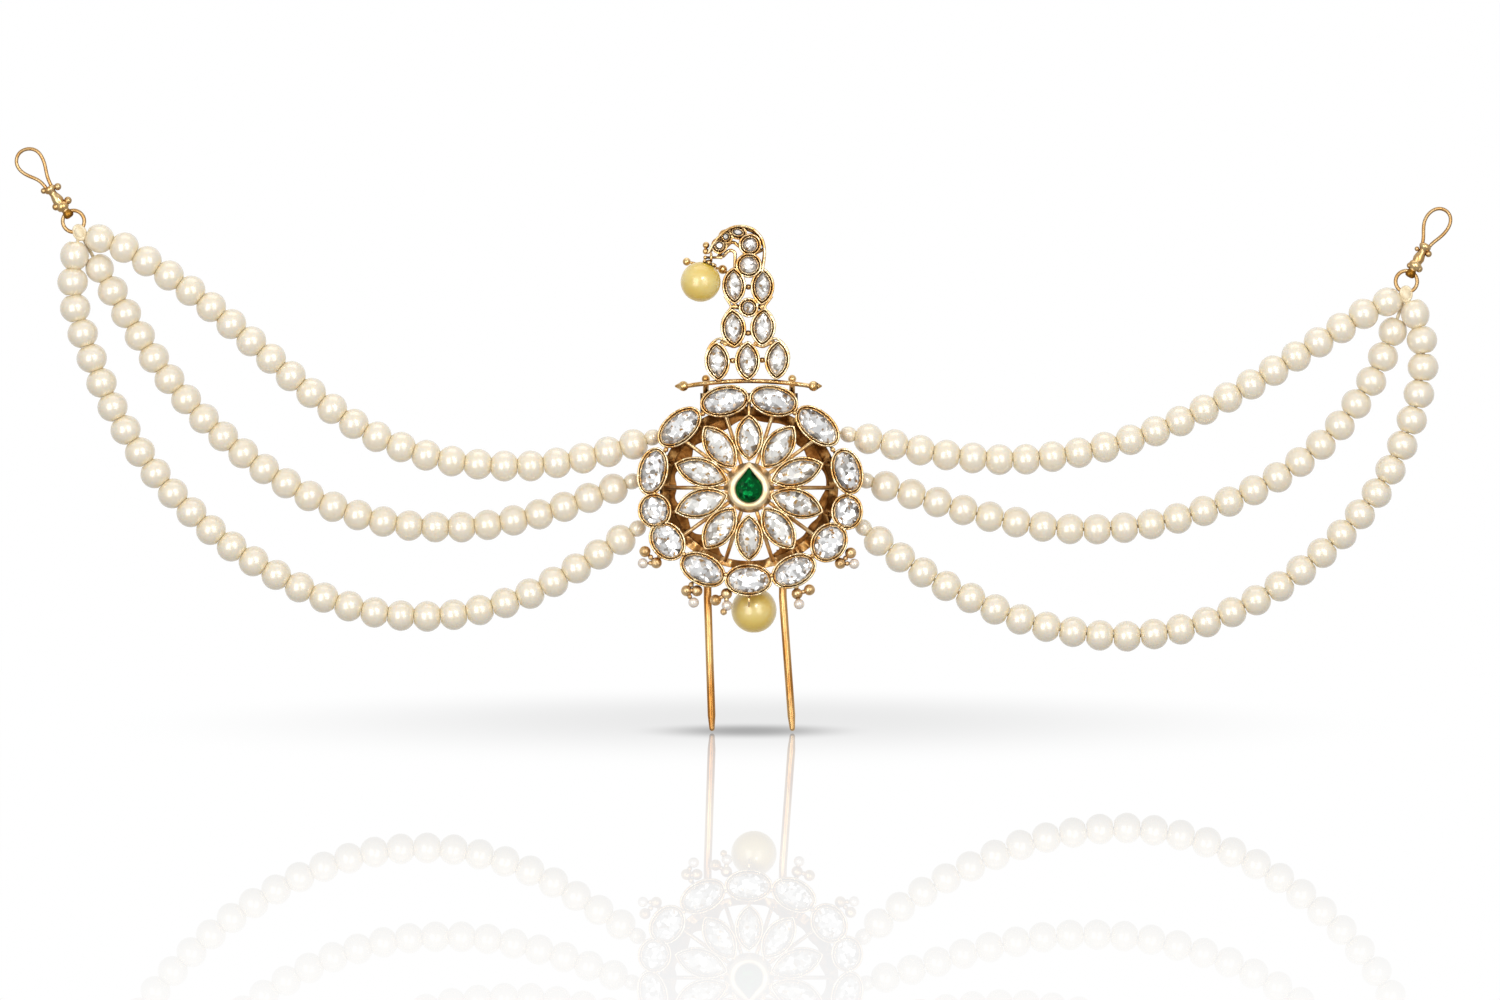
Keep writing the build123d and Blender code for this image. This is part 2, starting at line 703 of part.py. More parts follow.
# The seam of a cluster's ball faces where none of its wires leaves it
def cluster_ball(x, y, z):
    seam_x, seam_z = polar(1, CLUSTER_SEAM)
    place = Plane(origin=(x, y, z), x_dir=(seam_x, 0, seam_z), z_dir=(0, 1, 0))
    return place * Sphere(CLUSTER_BALL)


def cluster_balls():
    pieces = []
    for angle, first, second, pearl in CLUSTERS:
        row = next(r for r, s in zip(rim_layout(), RIM_STONES) if s[0] == angle)
        (x1, z1), (x2, z2) = first, second
        z1, z2 = MEDALLION_Z + z1, MEDALLION_Z + z2
        pieces.append(cluster_ball(x1, CLUSTER_Y, z1))
        pieces.append(cluster_ball(x2, CLUSTER_Y - CLUSTER_STEP, z2))
        pieces.append(rod((x1, CLUSTER_Y, z1), (x2, CLUSTER_Y - CLUSTER_STEP, z2), CLUSTER_WIRE))
        reach = 1 - (row[2] / 2) / math.hypot(row[3] - x1, row[4] - z1)
        end = (x1 + (row[3] - x1) * reach, CLUSTER_Y, z1 + (row[4] - z1) * reach)
        pieces.append(rod((x1, CLUSTER_Y, z1), end, CLUSTER_WIRE))
        px, pz = pearl[0], MEDALLION_Z + pearl[1]
        pieces.append(rod((x1, CLUSTER_Y, z1), (px, seed_y(first, pearl), pz), SEED_PEG))
    return pieces


def seed_y(first, pearl):
    apart = CLUSTER_BALL + SEED_RADIUS + SEED_GAP
    flat = math.hypot(first[0] - pearl[0], first[1] - pearl[1])
    return CLUSTER_Y - math.sqrt(max(apart**2 - flat**2, 0))


def seed_pearls():
    pearls = []
    for _, first, _, pearl in CLUSTERS:
        x, y, z = pearl[0], seed_y(first, pearl), MEDALLION_Z + pearl[1]
        start = (first[0], CLUSTER_Y, MEDALLION_Z + first[1])
        beyond = [c + (c - s) * 0.25 for c, s in zip((x, y, z), start)]
        pearls.append(drilled(ball(x, y, z, SEED_RADIUS), start, beyond, SEED_PEG + PEG_CLEARANCE))
    return pearls


# Fork: one bent wire with tapered tips
def fork():
    path = FilletPolyline(
        (TIP_LEFT_X, 0, FORK_TIP_Z), (PRONG_LEFT_X, 0, PRONG_KNEE_Z),
        (PRONG_LEFT_X, 0, FORK_TOP_Z), (PRONG_RIGHT_X, 0, FORK_TOP_Z),
        (PRONG_RIGHT_X, 0, PRONG_KNEE_Z), (TIP_RIGHT_X, 0, FORK_TIP_Z),
        radius=[KNEE_BEND, FORK_BEND, FORK_BEND, KNEE_BEND])
    wire = along(path, PRONG_RADIUS)
    for side_x, tip_x in ((PRONG_LEFT_X, TIP_LEFT_X), (PRONG_RIGHT_X, TIP_RIGHT_X)):
        down = Vector(tip_x - side_x, 0, FORK_TIP_Z - PRONG_KNEE_Z).normalized()
        start = Vector(tip_x, 0, FORK_TIP_Z)
        low = (Align.CENTER, Align.CENTER, Align.MIN)
        point = Cone(PRONG_RADIUS, TIP_END, TIP_LENGTH, align=low)
        wire += Plane(origin=start, z_dir=down) * point
        end = start + down * TIP_LENGTH
        wire += ball(end.X, end.Y, end.Z, TIP_END)
    return wire


# Plume: one soldered solid with its crossbar, feet and stalk
def plume():
    cups = [collet(*row, PLUME_BACK, PLUME_FRONT, PLUME_RIM_WIRE) for row in plume_layout()]
    joins = [rod((left, PLUME_MID, z), (right, PLUME_MID, z), LINK_WIRE) for left, right, z in LINK_BARS]
    joins += [rod((x, PLUME_BACK, z), (x, PLUME_FRONT + RIM_DROP, z), GRANULE) for x, z in SOLDER_SPOTS]
    curls = [along(Spline(*[(x, PLUME_MID, z) for x, z in OUTER_CURL]), CURL_WIRE)]
    curls += [bent_wire(points, PLUME_MID, CURL_WIRE, WIRE_BENDS) for points in (WAVE_WIRE, INNER_WIRE)]
    curls += [bent_wire(points, PLUME_FRONT + SADDLE_STEP, CURL_WIRE, WIRE_BENDS)
              for points in (LEFT_SADDLE, RIGHT_SADDLE)]
    curls += curl_beads()
    seats = [seat(*row, PLUME_BACK, PLUME_FRONT) for row in plume_layout()]
    return soldered([cups, joins, curls, crossbar(), pin_and_stalk()], seats)


def crossbar():
    arc = ThreePointArc((BAR_LEFT_X, PLUME_MID, BAR_END_Z), (0, PLUME_MID, BAR_END_Z + BAR_BOW),
                        (BAR_RIGHT_X, PLUME_MID, BAR_END_Z))
    pieces = [along(arc, BAR_RADIUS)]
    low = (Align.CENTER, Align.CENTER, Align.MIN)
    for x, outward in ((BAR_LEFT_X, -1), (BAR_RIGHT_X, 1)):
        middle = x + outward * FINIAL_BALL / 2
        pieces.append(ball(middle, PLUME_MID, BAR_END_Z, FINIAL_BALL))
        point = Cone(FINIAL_BALL * 0.8, FINIAL_TIP, FINIAL_LENGTH, align=low)
        start = (middle + outward * FINIAL_BALL / 2, PLUME_MID, BAR_END_Z)
        pieces.append(Plane(origin=start, z_dir=(outward, 0, 0)) * point)
    strut_z = BAR_END_Z + BAR_BOW * (1 - (FOOT_X / BAR_RIGHT_X) ** 2)
    for x in (-FOOT_X, FOOT_X):
        pieces.append(rod((x, PLUME_MID, strut_z), (x, FOOT_Y, strut_z), FOOT_RADIUS * 0.8))
        pieces.append(rod((x, FOOT_Y, SOCKET_TOP_Z - FOOT_DEPTH), (x, FOOT_Y, FOOT_TOP_Z), FOOT_RADIUS))
        pieces.append(ball(x, FOOT_Y, FOOT_TOP_Z, FOOT_BALL))
    return pieces


def curl_beads():
    pieces = []
    before = CURL_END
    for x, z, radius in CURL_BEADS:
        pieces.append(rod((before[0], PLUME_MID, before[1]), (x, PLUME_MID, z), LINK_WIRE))
        pieces.append(ball(x, PLUME_MID, z, radius))
        before = (x, z)
    return pieces


# The pin the upper drop swings on, and the ball-ended stalk behind that drop
def pin_and_stalk():
    pin_z = TOP_PEARL_Z + TOP_EYE_RISE
    pieces = [rod((PIN_LEFT_X, TOP_PEARL_Y, pin_z), (PIN_RIGHT_X, TOP_PEARL_Y, pin_z), PIN_RADIUS)]
    pieces.append(ball(PIN_LEFT_X, TOP_PEARL_Y, pin_z, PIN_HEAD))
    pieces.append(ball(PIN_RIGHT_X, TOP_PEARL_Y, pin_z, CURL_WIRE))
    pieces.append(rod((PIN_RIGHT_X, TOP_PEARL_Y, pin_z), (PIN_RIGHT_X, PLUME_MID, pin_z + 0.3), CURL_WIRE))
    pieces.append(rod(STALK_LEFT, STALK_RIGHT, STALK_RADIUS))
    pieces.append(ball(*STALK_LEFT, STALK_BALL))
    pieces.append(ball(*STALK_RIGHT, STALK_END_BALL))
    pieces.append(rod(STALK_RIGHT, STALK_FOOT, CURL_WIRE))
    return pieces


# A pearl drop: drilled pearl, and a wire with its cap, peg and eye
def pearl_drop(centre, pin, radius):
    centre, pin = Vector(*centre), Vector(*pin)
    up = (pin - centre).normalized()
    low = (Align.CENTER, Align.CENTER, Align.MIN)
    foot = centre - up * radius * PEG_SHARE
    pearl = ball(centre.X, centre.Y, centre.Z, radius)
    pearl -= rod(foot - up * PEG_CLEARANCE, pin, PEG_RADIUS + PEG_CLEARANCE)
    eye = Plane(origin=pin, z_dir=(1, 0, 0)) * Torus(DROP_EYE, DROP_WIRE)
    seat = math.sqrt(radius**2 - CAP_RADIUS**2)
    cap = Plane(origin=centre + up * seat, z_dir=up) * Cone(CAP_RADIUS, PEG_RADIUS, CAP_HEIGHT + radius - seat,
                                                           align=low)
    cap -= ball(centre.X, centre.Y, centre.Z, radius + CAP_GAP)
    neck = pin - up * DROP_EYE
    wire = eye + cap + rod(foot, neck, PEG_RADIUS)
    return pearl, wire


# Strands: path, thread and drilled beads
def knot_centre(side):
    ring_x, ring_z, knot_angle, _, _, _ = END_SETS[side]
    dx, dz = polar(RING_RADIUS + KNOT_PROUD, knot_angle)
    return ring_x + dx, ring_z + dz


def strand_y(name):
    return STRAND_Y + MIDDLE_BEHIND * STRAND_ENDS[name][1]


def strand_path(name):
    knot = Vector(*knot_centre(STRAND_ENDS[name][0]))
    route = [Vector(*point) for point in STRAND_ROUTES[name]]
    behind = max(strand_y(name) - STRAND_Y - THREAD_RADIUS, 0)
    clear = math.sqrt((KNOT_RADIUS + THREAD_FIT) ** 2 - behind**2)
    start = knot + (route[0] - knot).normalized() * clear
    points = [start] + route
    radii = []
    for before, here, after in zip(points, points[1:], points[2:]):
        turn = math.radians((here - before).get_angle(after - here))
        run = min((here - before).length, (after - here).length)
        radii.append(ARC_SHARE * run / math.tan(turn / 2))
    print(name, "arc radii", [round(r, 1) for r in radii])
    return FilletPolyline(*[(p.X, strand_y(name), p.Y) for p in points], radius=radii)


def bead(radius, length, edge):
    shape = Sphere(radius) & Cylinder(radius + 1, length)
    shape = chamfer(shape.edges().filter_by(GeomType.CIRCLE).filter_by(lambda e: e.is_closed), edge)
    return shape - Cylinder(BEAD_BORE, 2 * radius)


def bead_at(path, distance, shape):
    share = distance / path.length
    return Plane(origin=path @ share, x_dir=(0, 1, 0), z_dir=path % share) * shape


def strand(name, path):
    _, _, bare, tuck = STRAND_ENDS[name]
    small_at = path.length - tuck
    first = bare + BEAD_LENGTH / 2
    last = small_at - SMALL_LENGTH / 2 - SMALL_GAP - BEAD_LENGTH / 2
    count = int((last - first) / BEAD_PITCH) + 1
    pitch = (last - first) / (count - 1)
    print(name, count, "beads, pitch", round(pitch, 3))
    big = bead(BEAD_RADIUS, BEAD_LENGTH, BEAD_EDGE)
    small = bead(SMALL_RADIUS, SMALL_LENGTH, SMALL_EDGE)
    beads = [bead_at(path, first + index * pitch, big) for index in range(count)]
    beads.append(bead_at(path, small_at, small))
    return beads


# Ends: knot, ring, and the fitting with its hook loop
def end_pieces(side):
    ring_x, ring_z, knot_angle, hook_angle, reach, loop = END_SETS[side]
    face = Plane(origin=(ring_x, STRAND_Y, ring_z), x_dir=(1, 0, 0), z_dir=(0, -1, 0))
    ring = face * Torus(RING_RADIUS, RING_WIRE)
    channel = face * Torus(RING_RADIUS, RING_WIRE + RING_FIT)
    knot = face * Rot(0, 0, knot_angle) * Pos(RING_RADIUS + KNOT_PROUD, 0, 0) * Sphere(KNOT_RADIUS) - channel
    hook = face * Rot(0, 0, hook_angle) * fitting_and_loop(reach, loop)
    return knot, ring, hook - channel


def fitting_and_loop(reach, loop):
    start = RING_RADIUS
    neck = start + FITTING_LENGTH
    low = (Align.CENTER, Align.CENTER, Align.MIN)
    axis = Plane(origin=(0, 0, 0), z_dir=(1, 0, 0))
    body = Pos(start, 0, 0) * Sphere(FITTING_BALL)
    body += axis * Pos(0, 0, start) * Cylinder(SHANK_RADIUS, FITTING_LENGTH, align=low)
    for at in (start + 1.5, neck - COLLAR_HEIGHT):
        body += axis * Pos(0, 0, at) * Cylinder(COLLAR_RADIUS, COLLAR_HEIGHT, align=low)
    swell = start + 1.5 + COLLAR_HEIGHT
    body += axis * Pos(0, 0, swell) * Cone(SWELL_RADIUS, SHANK_RADIUS, 2.0, align=low)
    spread = Vector(reach - neck, -HOOK_NECK)
    lean = math.atan2(spread.Y, spread.X) + math.asin(loop / spread.length)
    tangent = math.sqrt(spread.length**2 - loop**2)
    touch_x = neck + tangent * math.cos(lean)
    touch_y = HOOK_NECK + tangent * math.sin(lean)
    root = neck - COLLAR_HEIGHT / 2
    leg_y = HOOK_NECK - COLLAR_HEIGHT / 2 * math.tan(lean)
    legs = [Line((root, leg_y), (touch_x, touch_y)),
            ThreePointArc((touch_x, touch_y), (reach + loop, 0), (touch_x, -touch_y)),
            Line((touch_x, -touch_y), (root, -leg_y))]
    return body + along(Wire(legs), HOOK_WIRE)


# Build
save(medallion(), "medallion_frame")
for number, row in enumerate(rim_layout(), 1):
    save(stone_in(*row, CUP_BACK, CUP_FRONT), f"outer_stone_{number:02d}")
for number, row in enumerate(petal_layout(), 1):
    save(stone_in(*row, PETAL_BACK, PETAL_FRONT), f"petal_stone_{number:02d}")
save(cut_stone("drop", CENTRE_ROUND, CENTRE_TIP, 0, MEDALLION_Z - CENTRE_DROP, 0,
               BEZEL_FRONT + GIRDLE_DROP, BEZEL_BACK - FLOOR - BACK_CLEARANCE), "centre_stone")
save(fork(), "turban_fork")
save(plume(), "plume_frame")
save(Compound(children=[stone_in(*row, PLUME_BACK, PLUME_FRONT) for row in plume_layout()]), "plume_stones")
save(Compound(children=seed_pearls()), "seed_pearls")

low_centre = (LOW_PEARL_X, LOW_PEARL_Y, LOW_PEARL_Z)
low_pin = (LOW_PEARL_X, LOW_PEARL_Y, LOW_PEARL_Z + LOW_PIN_RISE)
top_centre = (TOP_PEARL_X, TOP_PEARL_Y, TOP_PEARL_Z)
top_pin = (TOP_PEARL_X + TOP_EYE_SIDE, TOP_PEARL_Y, TOP_PEARL_Z + TOP_EYE_RISE)
for label, centre, pin, radius in (("rim_pearl", low_centre, low_pin, LOW_PEARL_RADIUS),
                                   ("plume_pearl", top_centre, top_pin, TOP_PEARL_RADIUS)):
    pearl, wire = pearl_drop(centre, pin, radius)
    save(pearl, label)
    save(wire, f"{label}_wire")

for name in STRAND_ROUTES:
    path = strand_path(name)
    save(Compound(children=strand(name, path)), name)
    save(along(path, THREAD_RADIUS), name.replace("strand", "thread"))
for side in END_SETS:
    knot, ring, hook = end_pieces(side)
    save(knot, f"{side}_knot")
    save(ring, f"{side}_ring")
    save(hook, f"{side}_hook")
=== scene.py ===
# %% [markdown]
# A turban ornament: how its looks are built
# The metalwork, stones and drops arrive as exact solids. This lesson dresses them: it keeps the solids
# that are right, models again what a goldsmith's hand would leave uneven, strings round pearls where the
# plain beads lie, and gives each surface the finish of the real thing.

# %% Open the frame
import json
import math
import random

import bmesh
import bpy
from mathutils import Matrix, Vector

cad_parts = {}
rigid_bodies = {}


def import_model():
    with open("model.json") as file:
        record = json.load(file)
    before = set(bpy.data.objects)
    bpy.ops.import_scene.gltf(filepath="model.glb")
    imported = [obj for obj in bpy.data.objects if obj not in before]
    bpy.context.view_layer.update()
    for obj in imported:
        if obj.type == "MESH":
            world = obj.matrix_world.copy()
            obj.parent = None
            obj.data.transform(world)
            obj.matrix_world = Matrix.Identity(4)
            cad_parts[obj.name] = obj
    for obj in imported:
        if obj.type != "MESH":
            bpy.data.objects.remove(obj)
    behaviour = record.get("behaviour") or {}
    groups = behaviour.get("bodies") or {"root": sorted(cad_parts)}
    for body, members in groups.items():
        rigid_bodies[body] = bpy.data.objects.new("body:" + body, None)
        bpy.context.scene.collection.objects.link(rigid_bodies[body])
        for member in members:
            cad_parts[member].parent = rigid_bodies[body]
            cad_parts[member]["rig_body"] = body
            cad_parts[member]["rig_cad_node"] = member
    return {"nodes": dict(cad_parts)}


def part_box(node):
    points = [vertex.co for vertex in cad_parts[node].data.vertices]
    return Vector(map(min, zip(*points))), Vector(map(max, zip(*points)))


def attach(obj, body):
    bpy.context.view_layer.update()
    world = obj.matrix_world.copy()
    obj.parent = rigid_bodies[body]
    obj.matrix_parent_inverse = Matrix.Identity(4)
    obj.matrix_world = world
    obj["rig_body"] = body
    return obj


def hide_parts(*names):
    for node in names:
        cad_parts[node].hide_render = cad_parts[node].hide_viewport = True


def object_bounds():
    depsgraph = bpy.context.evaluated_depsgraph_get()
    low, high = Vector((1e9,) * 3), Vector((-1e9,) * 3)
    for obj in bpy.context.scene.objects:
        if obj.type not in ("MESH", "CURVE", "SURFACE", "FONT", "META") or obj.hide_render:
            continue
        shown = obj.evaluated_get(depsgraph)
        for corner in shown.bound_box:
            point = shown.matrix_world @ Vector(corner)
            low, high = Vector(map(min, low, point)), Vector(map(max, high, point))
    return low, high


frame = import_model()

MM = 0.001
cad_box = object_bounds()
print("nodes", len(frame["nodes"]), "box", [round(v / MM, 1) for v in (cad_box[1] - cad_box[0])])

# %% [markdown]
# Camera, floor and light
# The ornament stands upright on a glossy white table and is seen straight from the front through a long
# lens, so that nothing is foreshortened. Two soft windows left and right of the lens give each pearl its
# pair of highlights, a small lamp on the right adds a spark, and a large soft light hangs overhead. The
# darker studio around them is what lets gold look like gold: polished metal only shows what it mirrors.
# The table is lit from within. It glows evenly, mirrors most where the jewel stands, and two soft patches
# in its finish stand for the faint shade under the strands.

# %% Camera
PHOTO_WIDE = 1500
PIXELS_PER_MM = 4.9
FRONT_CENTRE = Vector((0.2 * MM, 0, 18.4 * MM))
LENS = 200
SENSOR = 36
NEAREST, FARTHEST = 0.01, 100


def deselect():
    if bpy.context.object and bpy.context.object.mode != "OBJECT":
        bpy.ops.object.mode_set(mode="OBJECT")
    bpy.ops.object.select_all(action="DESELECT")


def make_camera():
    deselect()
    distance = PHOTO_WIDE / PIXELS_PER_MM * MM * LENS / SENSOR
    place = FRONT_CENTRE - Vector((0, distance, 0))
    bpy.ops.object.camera_add(location=place, rotation=(math.pi / 2, 0, 0))
    camera = bpy.context.object
    camera.data.lens = LENS
    camera.data.sensor_width = SENSOR
    camera.data.clip_start = NEAREST
    camera.data.clip_end = FARTHEST
    bpy.context.scene.camera = camera
    print("camera stands", round(distance, 3), "m in front")


make_camera()
bpy.context.scene.view_settings.view_transform = "Standard"

# %% A helper that adds one node
def linear(code):
    channels = [int(code[i:i + 2], 16) / 255 for i in (1, 3, 5)]
    return tuple(c / 12.92 if c <= 0.04045 else ((c + 0.055) / 1.055) ** 2.4 for c in channels) + (1.0,)


def add(tree, kind, inputs=None, **settings):
    made = tree.nodes.new(kind)
    for name, value in settings.items():
        setattr(made, name, value)
    for name, value in (inputs or {}).items():
        if isinstance(value, bpy.types.NodeSocket):
            tree.links.new(value, made.inputs[name])
        else:
            made.inputs[name].default_value = value
    return made


def blank_material(name):
    material = bpy.data.materials.new(name)
    material.use_nodes = True
    material.node_tree.nodes.clear()
    return material, material.node_tree


# %% Studio light
# a direction's height goes from -1 at the floor to 1 overhead, and its depth from -1 at the lens to 1
CARD_EDGE, CARD_FULL = 0.985, 0.99
FLOOR_END, CEILING_END = -0.5, 0.7
ROOM_LOW, ROOM_HIGH = 0.40, 0.66
BACK_START, BACK_END = 0.1, 0.9
BACK_FILL = 0.35


def make_world():
    world = bpy.data.worlds.new("studio")
    bpy.context.scene.world = world
    world.use_nodes = True
    tree = world.node_tree
    tree.nodes.clear()
    coords = add(tree, "ShaderNodeTexCoord")
    axes = add(tree, "ShaderNodeSeparateXYZ", {0: coords.outputs["Generated"]})
    height = add(tree, "ShaderNodeMapRange", {"Value": axes.outputs["Z"], "From Min": FLOOR_END,
                                              "From Max": CEILING_END, "To Min": ROOM_LOW,
                                              "To Max": ROOM_HIGH})
    behind = add(tree, "ShaderNodeMapRange", {"Value": axes.outputs["Y"], "From Min": BACK_START,
                                              "From Max": BACK_END, "To Max": BACK_FILL})
    room = add(tree, "ShaderNodeMath", {0: height.outputs[0], 1: behind.outputs[0]}, operation="ADD")
    card = add(tree, "ShaderNodeMapRange", {"Value": axes.outputs["Y"], "From Min": CARD_EDGE,
                                            "From Max": CARD_FULL})
    lit = add(tree, "ShaderNodeMix", {0: card.outputs[0], 2: room.outputs[0], 3: 1.0})
    seen = add(tree, "ShaderNodeLightPath")
    strength = add(tree, "ShaderNodeMix", {0: seen.outputs["Is Camera Ray"], 2: lit.outputs[0], 3: 1.0})
    studio = add(tree, "ShaderNodeBackground", {"Color": (1, 1, 1, 1), "Strength": strength.outputs[0]})
    add(tree, "ShaderNodeOutputWorld", {"Surface": studio.outputs[0]})


def soft_light(name, place, wide, high, watts):
    deselect()
    place = Vector(place)
    bpy.ops.object.light_add(type="AREA", location=place)
    light = bpy.context.object
    light.name = name
    light.data.shape = "RECTANGLE"
    light.data.size, light.data.size_y = wide, high
    light.data.energy = watts
    light.rotation_mode = "QUATERNION"
    light.rotation_quaternion = (place - FRONT_CENTRE).to_track_quat("Z", "Y")


make_world()
soft_light("window_left", (-0.46, -0.88, 0.04), 0.54, 0.80, 4.0)
soft_light("window_right", (0.43, -0.88, 0.10), 0.48, 0.80, 2.6)
soft_light("lamp_right", (0.21, -0.88, 0.38), 0.15, 0.17, 1.5)
soft_light("overhead", (0.0, 0.0, 1.0), 0.9, 0.5, 1.4)

# %% Table
TABLE_WIDE = 0.46
TABLE_NEAR, TABLE_FAR = -0.95, 0.60
TABLE_DROP = 0.25 * MM
MIRROR_REACH, MIRROR_MOST = 1.12, 0.48
# half width, half depth, its middle from front to back, how dark it is
WIDE_SHADE = (0.150, 0.36, 0.10, 0.175)
FOOT_SHADE = (0.028, 0.075, 0.01, 0.42)


def soft_patch(tree, place, wide, deep, middle, most):
    scaled = add(tree, "ShaderNodeMapping", {"Vector": place, "Location": (0, -middle / deep, 0),
                                             "Scale": (1 / wide, 1 / deep, 0)})
    length = add(tree, "ShaderNodeVectorMath", {0: scaled.outputs[0]}, operation="LENGTH")
    patch = add(tree, "ShaderNodeMapRange", {"Value": length.outputs["Value"], "From Min": 1.0,
                                             "From Max": 0.0, "To Max": most},
                interpolation_type="SMOOTHERSTEP")
    return patch.outputs[0]


def table_finish():
    material, tree = blank_material("lit_white_acrylic")
    coords = add(tree, "ShaderNodeTexCoord")
    place = coords.outputs["Object"]
    axes = add(tree, "ShaderNodeSeparateXYZ", {0: place})
    fade = add(tree, "ShaderNodeMapRange", {"Value": axes.outputs["Y"], "From Min": -MIRROR_REACH,
                                            "From Max": 0.0, "To Min": 0.0, "To Max": MIRROR_MOST})
    wide_shade = soft_patch(tree, place, *WIDE_SHADE)
    foot_shade = soft_patch(tree, place, *FOOT_SHADE)
    shade = add(tree, "ShaderNodeMath", {0: wide_shade, 1: foot_shade}, operation="ADD")
    lit = add(tree, "ShaderNodeMath", {0: 1.0, 1: shade.outputs[0]}, operation="SUBTRACT")
    glow = add(tree, "ShaderNodeEmission", {"Color": (1, 1, 1, 1), "Strength": lit.outputs[0]})
    mirror = add(tree, "ShaderNodeBsdfGlossy", {"Color": lit.outputs[0], "Roughness": 0.0})
    mixed = add(tree, "ShaderNodeMixShader", {0: fade.outputs[0], 1: glow.outputs[0], 2: mirror.outputs[0]})
    add(tree, "ShaderNodeOutputMaterial", {"Surface": mixed.outputs[0]})
    return material


def make_table():
    deselect()
    level = cad_box[0].z - TABLE_DROP
    middle = (TABLE_NEAR + TABLE_FAR) / 2
    bpy.ops.mesh.primitive_plane_add(size=1, location=(0, middle, level))
    table = bpy.context.object
    table.data.transform(Matrix.Diagonal((TABLE_WIDE, TABLE_FAR - TABLE_NEAR, 1, 1)))
    table.data.transform(Matrix.Translation((0, middle, level)))
    table.location = (0, 0, 0)
    table.name = "table"
    table.visible_diffuse = False
    table.visible_glossy = False
    table.visible_transmission = False
    table.visible_shadow = False
    table.data.materials.append(table_finish())


make_table()

# %% [markdown]
# Gold
# The frame is antique Indian gold of a high carat: a warm yellow with worn, shiny edges, a softly hammered
# surface and brown in every corner, partly tarnish and partly painted shade. Both are found with an ambient
# occlusion node, which is dark where the surface faces its own neighbours, and parts lying further back can
# be painted darker too. A bevel node rounds the edges for light alone.
# One recipe serves every gold of the jewel, since they differ only in polish, dents, dirt and painted
# shade: fingers keep the rims bright, the bezel is satin, drawn wire has long streaks, and the recesses are
# painted nearly black, for tarnish and shade. The lower gallery is painted lighter for the light the table
# throws into it, and the end of each hook's fitting is painted darker, a painted shade.

# %% Gold finish
# sizes in millimetres
BLOTCH, DENT, SCRATCH = 1.8, 0.8, 0.2
EDGE_ROUND, DENT_DEPTH, SCRATCH_DEPTH = 0.12, 0.15, 0.03
# noise values between which the tone and the wear change
BLOTCH_LOW, BLOTCH_HIGH = 0.38, 0.62
WEAR_LOW, WEAR_HIGH = 0.3, 0.7
# from shares of open sky to shares of clean metal, free of tarnish and painted shade
CORNER, OPEN = 0.35, 0.8
# share of clean metal left at the back depth, where tarnish and painted shade are deepest
DEEPEST_CLEAN_AND_UNSHADED = 0.12
TARNISH_ROUGH, WEAR_SPREAD = 0.5, 0.14
SCRATCH_STRENGTH = 0.10


def per_mm(size):
    return 1 / (size * MM)


